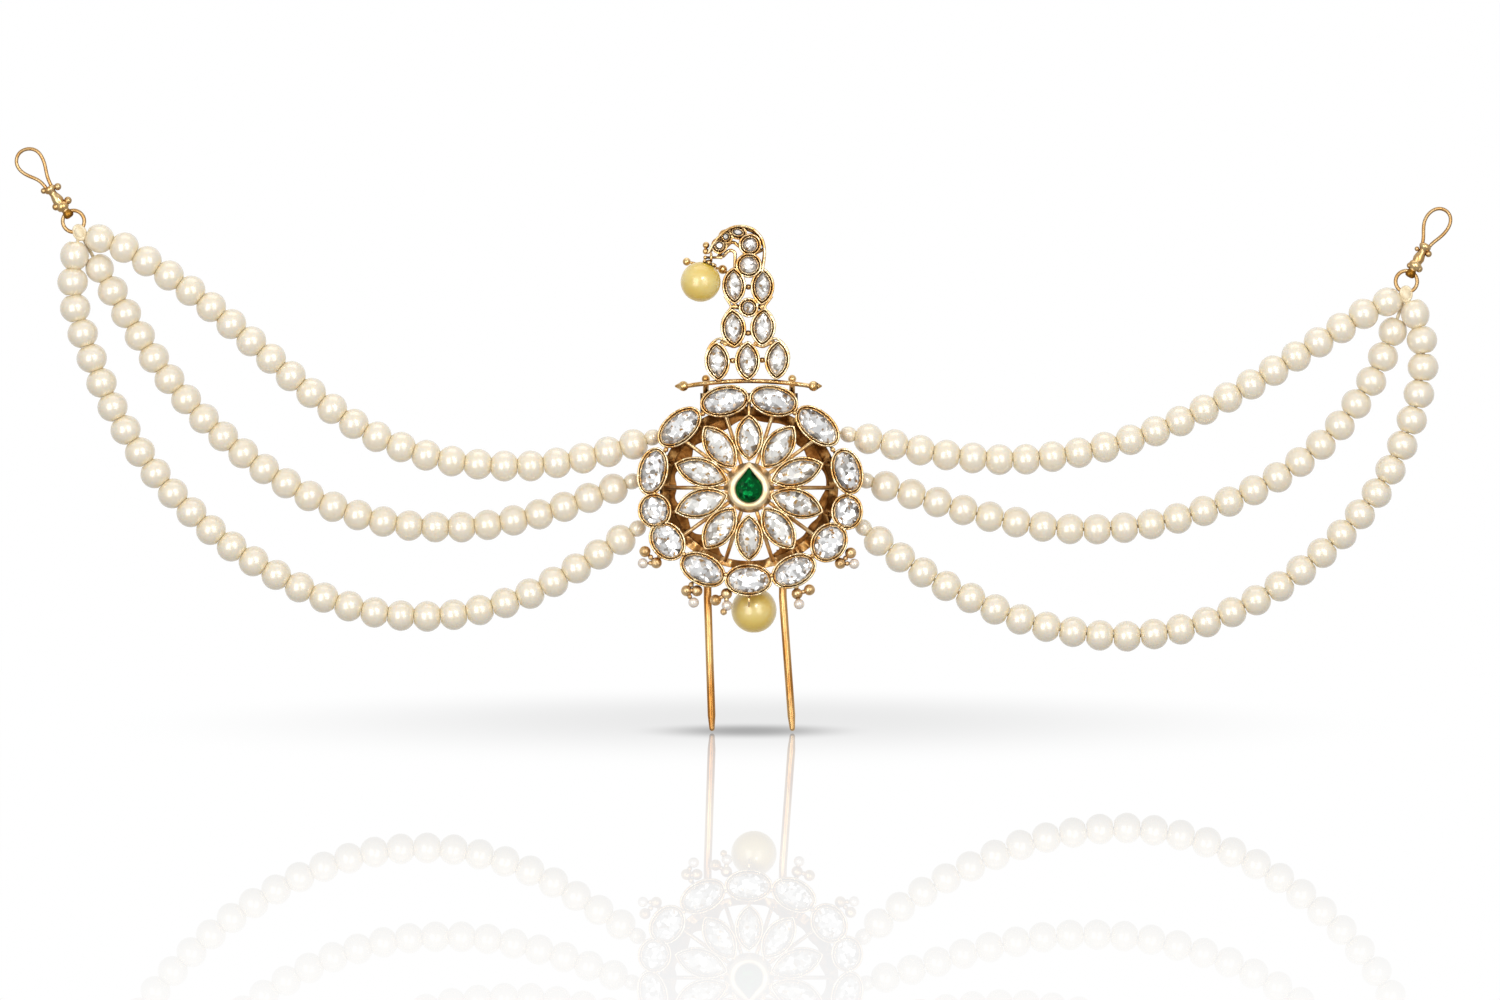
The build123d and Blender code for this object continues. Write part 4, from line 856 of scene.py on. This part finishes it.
# %% Grains that fill the little clusters
CLUSTER_GRAINS = [
    # x, z, radius
    (-18.2, 6.9, 0.6), (-20.05, 6.75, 0.55), (-20.1, 5.55, 0.5),
    (-11.8, 1.1, 0.6), (-11.65, 0.0, 0.5), (-12.1, -1.3, 0.5),
    (-3.5, 0.1, 0.5), (-5.7, -1.4, 0.5), (-4.6, -1.9, 0.5), (-5.2, -4.4, 0.7),
    (9.6, 0.7, 0.55), (11.05, -0.3, 0.5), (10.0, -1.9, 0.5),
    (17.9, 6.8, 0.6), (19.65, 6.55, 0.55), (20.0, 5.45, 0.5)]
CLUSTER_DEPTH = -2.9
dice = random.Random("clusters")
grains = [gold_grain(Vector((x, CLUSTER_DEPTH, z)) * MM, radius, dice)
          for x, z, radius in CLUSTER_GRAINS]
finish_piece(join(grains), "cluster_grains", grain_gold, "root", "gold")
print(len(grains), "cluster grains")

# %% [markdown]
# Silk knots
# Each knot is a few turns of silk drawn tight over the ring: a small ball for the core, and rings of
# thread laid over it at different tilts. It is drawn out a little towards the strings it holds.

# %% Wind the knots
KNOT_TURNS = 7
KNOT_THREAD = 0.3
KNOT_SPREAD = 1.12
KNOT_LONG = 1.25
CORE_SINK = 1.2
THREAD_LEAN = 0.45
# degrees
KNOT_TILT = {"left": -62.0, "right": -93.0}


def wind_knot(side):
    low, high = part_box(f"{side}_knot")
    middle, radius = (low + high) / 2, (high.z - low.z) / 2 * KNOT_SPREAD
    core = radius - KNOT_THREAD * MM * CORE_SINK
    deselect()
    bpy.ops.mesh.primitive_uv_sphere_add(segments=24, ring_count=16, radius=core)
    parts = [bpy.context.object]
    dice = random.Random(side)
    for turn in range(KNOT_TURNS):
        deselect()
        bpy.ops.mesh.primitive_torus_add(major_segments=28, minor_segments=8,
                                         minor_radius=KNOT_THREAD * MM,
                                         major_radius=radius - KNOT_THREAD * MM)
        loop = bpy.context.object
        tip = math.radians(90) + dice.uniform(-THREAD_LEAN, THREAD_LEAN)
        round_knot = Matrix.Rotation(math.pi * turn / KNOT_TURNS, 4, "Y")
        loop.data.transform(round_knot @ Matrix.Rotation(tip, 4, "X"))
        parts.append(loop)
    knot = join(parts)
    bpy.ops.object.shade_smooth()
    tilt = Matrix.Rotation(math.radians(-KNOT_TILT[side]), 4, "Y")
    knot.data.transform(Matrix.Translation(middle) @ tilt @ Matrix.Diagonal((KNOT_LONG, 1, 1, 1)))
    print(side, "knot has", len(knot.data.polygons), "faces")
    return finish_piece(knot, f"{side}_silk_knot", ivory_silk, "root", "thread", f"{side}_knot")


for side in ("left", "right"):
    wind_knot(side)

# %% [markdown]
# Hammered collets
# Round every stone runs a drawn wire, and inside it a thin strip whose edge was pushed over the stone with
# a burnisher, a nick at a time. The wire is a closed curve with a round bevel, whose thickness wanders a
# little as hand-drawn wire does. The strip is a ring of edges, extruded forward and leaned inwards, with
# its edge waved by small moves. Both follow the stone they hold, so each stone is measured first: where it
# lies, how it is turned, how long and wide it is, and whether it is an oval or has two pointed ends.

# %% Measure a setting
TOWARDS_TIP = 0.6
POINTED_BELOW = 0.68


def setting_of(corners):
    middle = middle_of(corners)
    flat = [(c.x - middle.x, c.z - middle.z) for c in corners]
    xx, zz = sum(x * x for x, _ in flat), sum(z * z for _, z in flat)
    xz = sum(x * z for x, z in flat)
    turn = 0.5 * math.atan2(2 * xz, xx - zz)
    cos, sin = math.cos(turn), math.sin(turn)
    along = [x * cos + z * sin for x, z in flat]
    across = [z * cos - x * sin for x, z in flat]
    half_long, half_wide = max(along), max(across)
    shoulder = max(abs(v) for u, v in zip(along, across) if abs(u) > TOWARDS_TIP * half_long)
    pointed = shoulder < POINTED_BELOW * half_wide
    front = min(c.y for c in corners)
    return middle, turn, half_long, half_wide, pointed, front


# the point at an angle on the stone's own outline, grown outwards: an ellipse, or two arcs that meet
def outline(half_long, half_wide, pointed, grow, angle):
    if not pointed:
        return (half_long + grow) * math.cos(angle), (half_wide + grow) * math.sin(angle)
    radius = (half_long**2 + half_wide**2) / (2 * half_wide)
    sink = radius - half_wide
    tip = math.sqrt((radius + grow) ** 2 - sink**2)
    reach = math.asin(tip / (radius + grow))
    side = 1 if angle % math.tau < math.pi else -1
    share = (angle % math.pi) / math.pi
    swing = reach * (1 - 2 * share) * side
    return (radius + grow) * math.sin(swing), side * ((radius + grow) * math.cos(swing) - sink)


# %% Rim wire
RIM_POINTS = 40
WIRE_BACK = 0.72
WIRE_LIFT, WIRE_WAVES = 0.05, 3
WIRE_THIN, WIRE_THICK = 0.84, 1.16


def round_curve(name, dimensions, thick, steps):
    curve = bpy.data.curves.new(name, "CURVE")
    curve.dimensions = dimensions
    curve.bevel_depth = thick * MM
    curve.bevel_resolution = steps
    return curve


def mesh_of(curve):
    piece = bpy.data.objects.new(curve.name, curve)
    bpy.context.scene.collection.objects.link(piece)
    choose(piece)
    bpy.ops.object.convert(target="MESH")
    return bpy.context.object


def rim_wire(setting, grow, thick, dice):
    middle, turn, half_long, half_wide, pointed, front = setting
    cos, sin = math.cos(turn), math.sin(turn)
    curve = round_curve("rim", "3D", thick, 3)
    line = curve.splines.new("POLY")
    line.points.add(RIM_POINTS - 1)
    line.use_cyclic_u = True
    phase = dice.uniform(0, math.tau)
    for index, point in enumerate(line.points):
        angle = math.tau * index / RIM_POINTS
        u, v = outline(half_long, half_wide, pointed, grow * MM, angle)
        lift = WIRE_LIFT * math.sin(WIRE_WAVES * angle + phase) * MM
        depth = front + WIRE_BACK * MM + lift
        point.co = (middle.x + u * cos - v * sin, depth, middle.z + u * sin + v * cos, 1)
        point.radius = dice.uniform(WIRE_THIN, WIRE_THICK)
    wire = mesh_of(curve)
    bpy.ops.object.shade_smooth()
    return wire


# %% Holding strip
STRIP_POINTS = 72
STRIP_WALL = 0.13
STRIP_OUT = 0.17
STRIP_BACK, STRIP_RISE = 0.85, 0.72
STRIP_STEPS = (0.6, 0.4)
EDGE_FROM = 0.9
FEWEST_NICKS = 11
NICK_ROUGH, NICK_SINK = 0.15, 0.10
LEAN_LEAST, LEAN_WAVE = 0.55, 0.65


def holding_strip(setting, lean, dice):
    middle, turn, half_long, half_wide, pointed, front = setting
    cos, sin = math.cos(turn), math.sin(turn)
    deselect()
    bpy.ops.mesh.primitive_circle_add(vertices=STRIP_POINTS, radius=1, fill_type="NOTHING")
    strip = bpy.context.object
    for vertex in strip.data.vertices:
        angle = math.atan2(vertex.co.y, vertex.co.x) % math.tau
        u, v = outline(half_long, half_wide, pointed, STRIP_OUT * MM, angle)
        vertex.co = (u, 0, v)
    bpy.ops.object.mode_set(mode="EDIT")
    bpy.ops.mesh.select_all(action="SELECT")
    for share in STRIP_STEPS:
        step = (0, -STRIP_RISE * MM * share, 0)
        bpy.ops.mesh.extrude_edges_move(TRANSFORM_OT_translate={"value": step})
    bpy.ops.object.mode_set(mode="OBJECT")
    nicks = FEWEST_NICKS + int(half_long / MM)
    phase = dice.uniform(0, math.tau)
    for vertex in strip.data.vertices:
        if vertex.co.y < -STRIP_RISE * MM * EDGE_FROM:
            angle = math.atan2(vertex.co.z, vertex.co.x)
            wave = 0.5 + 0.5 * math.sin(nicks * angle + phase) + dice.uniform(-NICK_ROUGH, NICK_ROUGH)
            shrink = lean * (LEAN_LEAST + LEAN_WAVE * wave) * MM
            length = math.hypot(vertex.co.x, vertex.co.z)
            vertex.co.x -= vertex.co.x / length * shrink
            vertex.co.z -= vertex.co.z / length * shrink
            vertex.co.y += NICK_SINK * MM * wave
    wall = strip.modifiers.new("wall", "SOLIDIFY")
    wall.thickness = STRIP_WALL * MM
    wall.offset = 0
    bpy.ops.object.modifier_apply(modifier="wall")
    strip.data.transform(Matrix((
        (cos, 0, -sin, middle.x), (0, 1, 0, front + STRIP_BACK * MM), (sin, 0, cos, middle.z),
        (0, 0, 0, 1))))
    bpy.ops.object.mode_set(mode="EDIT")
    face_outwards()
    smooth_below(50)
    return strip


# %% Trim the collets
SMALL_STONE = 1.1


def collet_trim(nodes, name, wire_grow, wire_thick, lean):
    dice = random.Random(name)
    parts = []
    for node in nodes:
        for corners in solids_of(node):
            setting = setting_of(corners)
            half_long = setting[2]
            if half_long > SMALL_STONE * MM:
                parts.append(rim_wire(setting, wire_grow, wire_thick, dice))
            parts.append(holding_strip(setting, lean, dice))
    print(name, len(parts), "wires and strips")
    return finish_piece(join(parts), name, rim_gold, "root", "gold")


outer_stones = sorted(n for n in frame["nodes"] if n.startswith("outer_stone"))
petal_stones = sorted(n for n in frame["nodes"] if n.startswith("petal_stone"))
collet_trim(outer_stones, "rim_collet_trim", wire_grow=0.57, wire_thick=0.22, lean=0.22)
collet_trim(petal_stones, "petal_collet_trim", wire_grow=0.57, wire_thick=0.21, lean=0.22)
collet_trim(["plume_stones"], "plume_collet_trim", wire_grow=0.66, wire_thick=0.25, lean=0.10)

# %% [markdown]
# Solder on the plume's ties
# Where two collets of the plume meet, a short peg ties them, and the solder that ran in left a swelling
# round its middle. Such a round piece is read from its profile, as on a lathe: a circle is extruded and
# resized section by section. The same helper turns the hooks' fittings later on.

# %% Turn a piece from its profile
def turned(profile, sides):
    deselect()
    start, radius = profile[0]
    bpy.ops.mesh.primitive_circle_add(vertices=sides, radius=radius * MM, fill_type="NGON",
                                      location=(0, 0, start * MM))
    piece = bpy.context.object
    piece.data.transform(piece.matrix_world)
    piece.matrix_world = Matrix.Identity(4)
    bpy.ops.object.mode_set(mode="EDIT")
    bpy.ops.mesh.select_all(action="SELECT")
    at, size = start, radius
    for height, wide in profile[1:]:
        bpy.ops.mesh.extrude_region_move(TRANSFORM_OT_translate={"value": (0, 0, (height - at) * MM)})
        bpy.ops.transform.resize(value=(wide / size, wide / size, 1))
        at, size = height, wide
    face_outwards()
    smooth_below(50)
    return piece


# %% Solder on the plume's ties
TIES = [
    # x, z, half length
    (-3.3, 46.8, 1.1),
    (2.7, 46.9, 1.0),
    (-0.2, 52.4, 1.1),
    (-0.15, 61.8, 1.0),
    (-2.4, 57.75, 0.7),
    (2.2, 57.75, 0.7),
]
TIE_DEPTH = -3.0
TIE_SIDES = 14
# share of the half length, radius
TIE_PROFILE = [(-1, 0.44), (-0.4, 0.44), (-0.2, 0.58), (0.2, 0.58), (0.4, 0.44), (1, 0.44)]


def solder_tie(x, z, half):
    tie = turned([(share * half, radius) for share, radius in TIE_PROFILE], TIE_SIDES)
    lying = Matrix.Rotation(math.pi / 2, 4, "Y")
    tie.data.transform(Matrix.Translation((x * MM, TIE_DEPTH * MM, z * MM)) @ lying)
    return tie


ties = [solder_tie(*tie) for tie in TIES]
finish_piece(join(ties), "plume_solder_ties", plume_gold, "root", "gold")
print(len(ties), "ties")

# %% [markdown]
# Flat work cut from strip and plate
# The tip of the plume is held together by a flat strip of gold, bent on edge round the last stones, and
# between the plume's rows narrow strips swing from shoulder to shoulder. Behind the petals the old casting
# closes parts of the openwork with a thin, ragged lip inside the gallery. All are flat curves given depth
# along their normal and a round bevel, made a mesh, and stood upright, so that their course can be drawn
# as on paper.

# %% Stand a flat curve upright
FLAT_STEPS = 10


def nurbs_line(curve, points, order, closed):
    line = curve.splines.new("NURBS")
    line.points.add(len(points) - 1)
    for point, (x, y, z) in zip(line.points, points):
        point.co = (x * MM, y * MM, z * MM, 1)
    line.order_u = order
    line.use_cyclic_u = closed
    line.use_endpoint_u = not closed


def flat_curve(lines, closed, order, half, thick, depth):
    curve = round_curve("flat", "2D", thick, 3)
    curve.fill_mode = "BOTH" if closed else "NONE"
    curve.extrude = half * MM
    curve.resolution_u = FLAT_STEPS
    for points in lines:
        nurbs_line(curve, [(x, z, 0) for x, z in points], order, closed)
    piece = mesh_of(curve)
    upright = Matrix.Translation((0, depth * MM, 0)) @ Matrix.Rotation(math.pi / 2, 4, "X")
    piece.data.transform(upright)
    bpy.ops.object.mode_set(mode="EDIT")
    bpy.ops.mesh.select_all(action="SELECT")
    bpy.ops.mesh.remove_doubles(threshold=MERGE)
    bpy.ops.mesh.select_all(action="DESELECT")
    bpy.ops.mesh.select_non_manifold()
    bpy.ops.mesh.fill_holes(sides=0)
    face_outwards()
    smooth_below(50)
    return piece


# %% Curl band
CURL_BAND = [
    # x, z
    (2.7, 64.9), (3.2, 67.4), (3.3, 70.0), (2.5, 72.2), (0.8, 73.75), (-1.45, 74.35), (-3.8, 73.95),
    (-5.9, 72.5), (-7.5, 70.3), (-8.3, 68.7)]
BAND_DEPTH, BAND_HALF, BAND_THICK = -3.6, 0.6, 0.27

band = flat_curve([CURL_BAND], False, 4, BAND_HALF, BAND_THICK, BAND_DEPTH)
finish_piece(band, "plume_curl_band", rim_gold, "root", "gold")
print("band", len(band.data.polygons), "faces")

# %% Shoulder wires between the plume's rows
SHOULDERS = [
    # x, z
    [(-8.85, 47.2), (-8.6, 48.9), (-7.7, 50.4), (-6.3, 51.4), (-5.1, 51.2), (-4.2, 50.3), (-3.3, 49.7)],
    [(8.2, 47.2), (8.05, 48.8), (7.2, 50.2), (5.9, 51.3), (4.6, 51.4), (3.7, 50.4), (2.7, 49.7)],
    [(-5.4, 55.0), (-4.8, 56.3), (-3.8, 57.3), (-3.6, 57.9), (-4.2, 58.8), (-5.0, 59.9)],
    [(4.75, 59.9), (4.0, 58.8), (3.1, 57.9), (3.3, 57.2), (4.2, 56.2), (4.9, 54.9)]]
SHOULDER_DEPTH, SHOULDER_HALF, SHOULDER_THICK = -3.5, 0.45, 0.24

wires = [flat_curve([points], False, 4, SHOULDER_HALF, SHOULDER_THICK, SHOULDER_DEPTH)
         for points in SHOULDERS]
finish_piece(join(wires), "plume_shoulder_wires", rim_gold, "root", "gold")
print(len(wires), "shoulder wires")

# %% Lip inside the gallery
GALLERY_MIDDLE = 20.9
GALLERY_WIDE, GALLERY_HIGH = 16.3, 14.9
LIP_ROOT = 0.9
LIP_DEPTH, LIP_HALF, LIP_ROUND = -1.95, 0.2, 0.08
LIP = [
    # angle in degrees, reach towards the middle
    (0, 0.4), (12, 0.3), (22, 1.7), (30, 2.7), (38, 2.0), (47, 2.6), (56, 0.5), (66, 0.4), (78, 1.3),
    (90, 0.6), (100, 1.2), (112, 2.6), (122, 1.0), (130, 2.5), (140, 1.4), (150, 2.9), (160, 2.4),
    (168, 0.5), (180, 1.7), (190, 0.6), (202, 2.5), (212, 1.8), (222, 0.7), (232, 2.7), (242, 2.4),
    (250, -0.2), (262, -0.3), (270, -0.2), (282, -0.3), (294, 1.2), (304, 1.2), (316, 0.6), (326, 1.5),
    (336, 0.4), (344, 1.8), (352, 1.4)]


def gallery_point(angle, inward):
    turn = math.radians(angle)
    x = (GALLERY_WIDE - inward) * math.cos(turn)
    z = GALLERY_MIDDLE + (GALLERY_HIGH - inward) * math.sin(turn)
    return x, z


lip_outside = [gallery_point(angle, -LIP_ROOT) for angle, reach in LIP]
lip_inside = [gallery_point(angle, reach) for angle, reach in LIP]
lip = flat_curve([lip_outside, lip_inside], True, 3, LIP_HALF, LIP_ROUND, LIP_DEPTH)
# painted shade: the lip takes the nearly black gold, for tarnish and the shade of the recess
finish_piece(lip, "gallery_lip", recess_gold, "root", "gold")
print("lip", len(lip.data.polygons), "faces")

# %% [markdown]
# Hooks
# A hook is one wire bent to a teardrop loop, its two ends gripped by a turned fitting with a collar at
# each end and a few knobs on its sides. The wire is a smooth curve steered by chosen points, with a round
# bevel, and the fitting is turned from its profile. The end by the ring is painted a darker brown gold, a
# painted shade. The whole is drawn upright at the origin, where it is easy to measure, and one matrix then
# lays it in its place.

# %% Turned fitting and bent loop
FITTING_PROFILE = [
    # distance from the ring's middle, radius
    (1.0, 0.5), (1.15, 0.86), (1.6, 1.1), (2.15, 1.02), (2.6, 0.8), (2.95, 0.84), (3.2, 1.2),
    (3.7, 1.35), (4.2, 1.25), (4.5, 1.0), (5.3, 1.18), (6.1, 1.02), (6.8, 0.78), (7.4, 0.8),
    (7.7, 1.15), (8.1, 1.28), (8.5, 1.15), (8.75, 0.7)]
KNOBS = {
    # distance from the ring's middle, distance to the side, radius
    "left": [(8.6, -1.2, 0.62), (7.6, 1.6, 0.75), (4.5, -1.15, 0.75), (4.1, 1.6, 0.8)],
    "right": [(7.1, 1.3, 0.7), (6.9, -1.25, 0.5), (3.5, 1.05, 0.75), (3.2, -0.95, 0.62)],
}
# up to this many millimetres from the ring's middle the fitting is painted darker, a painted shade
SHADED_HOOK_END = 2.5
LOOPS = {
    # distance from the ring's middle, distance to the side
    "left": [(8.0, 0.5), (9.3, 0.45), (10.9, 0.55), (12.6, 1.75), (14.6, 2.7), (16.6, 2.5), (17.95, 0.9),
             (17.75, -1.1), (16.4, -2.55), (14.7, -2.75), (12.7, -2.2), (11.0, -1.25), (9.4, -0.75),
             (8.0, -0.6)],
    "right": [(7.4, 0.6), (8.8, 0.75), (10.6, 1.75), (12.5, 2.7), (14.6, 2.6), (16.2, 1.6), (16.75, 0.0),
              (16.2, -1.6), (14.6, -2.45), (12.6, -2.3), (10.9, -1.7), (9.2, -0.85), (8.3, -0.75),
              (7.4, -0.9)],
}
LOOP_WIRE, LOOP_STEPS = 0.37, 8
FITTING_SIDES = 20
# degrees from the x axis
HOOK_ANGLE = {"left": 126.5, "right": 61.8}


def bent_wire(points, thick):
    curve = round_curve("wire", "3D", thick, 4)
    curve.use_fill_caps = True
    curve.resolution_u = LOOP_STEPS
    nurbs_line(curve, points, 4, False)
    wire = mesh_of(curve)
    bpy.ops.object.shade_smooth()
    return wire


def make_hook(side):
    ring_low, ring_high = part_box(f"{side}_ring")
    ring = (ring_low + ring_high) / 2
    angle = math.radians(HOOK_ANGLE[side])
    wire = bent_wire([(0, -v, u) for u, v in LOOPS[side]], LOOP_WIRE)
    parts = [turned(FITTING_PROFILE, FITTING_SIDES), wire]
    for height, aside, radius in KNOBS[side]:
        bpy.ops.mesh.primitive_uv_sphere_add(segments=16, ring_count=10, radius=radius * MM)
        knob = bpy.context.object
        knob.data.transform(Matrix.Translation((0, aside * MM, height * MM)))
        bpy.ops.object.shade_smooth()
        parts.append(knob)
    hook = join(parts)
    along = Vector((math.cos(angle), 0, math.sin(angle)))
    across = Vector((math.sin(angle), 0, -math.cos(angle)))
    hook.data.transform(Matrix((
        (BACKWARDS.x, across.x, along.x, ring.x), (BACKWARDS.y, across.y, along.y, ring.y),
        (BACKWARDS.z, across.z, along.z, ring.z), (0, 0, 0, 1))))
    print(side, "hook has", len(KNOBS[side]), "knobs and", len(hook.data.polygons), "faces")
    finish_piece(hook, f"{side}_hook_gold", hook_gold, "root", "gold", f"{side}_hook")
    # painted shade: the end by the ring takes the darker gold
    hook.data.materials.append(painted_shade_hook_end_gold)
    for face in hook.data.polygons:
        if (face.center - ring).dot(along) < SHADED_HOOK_END * MM:
            face.material_index = 1


for side in ("left", "right"):
    make_hook(side)

# %% Print the sizes
print("cad", [round(c / MM, 2) for v in cad_box for c in v])
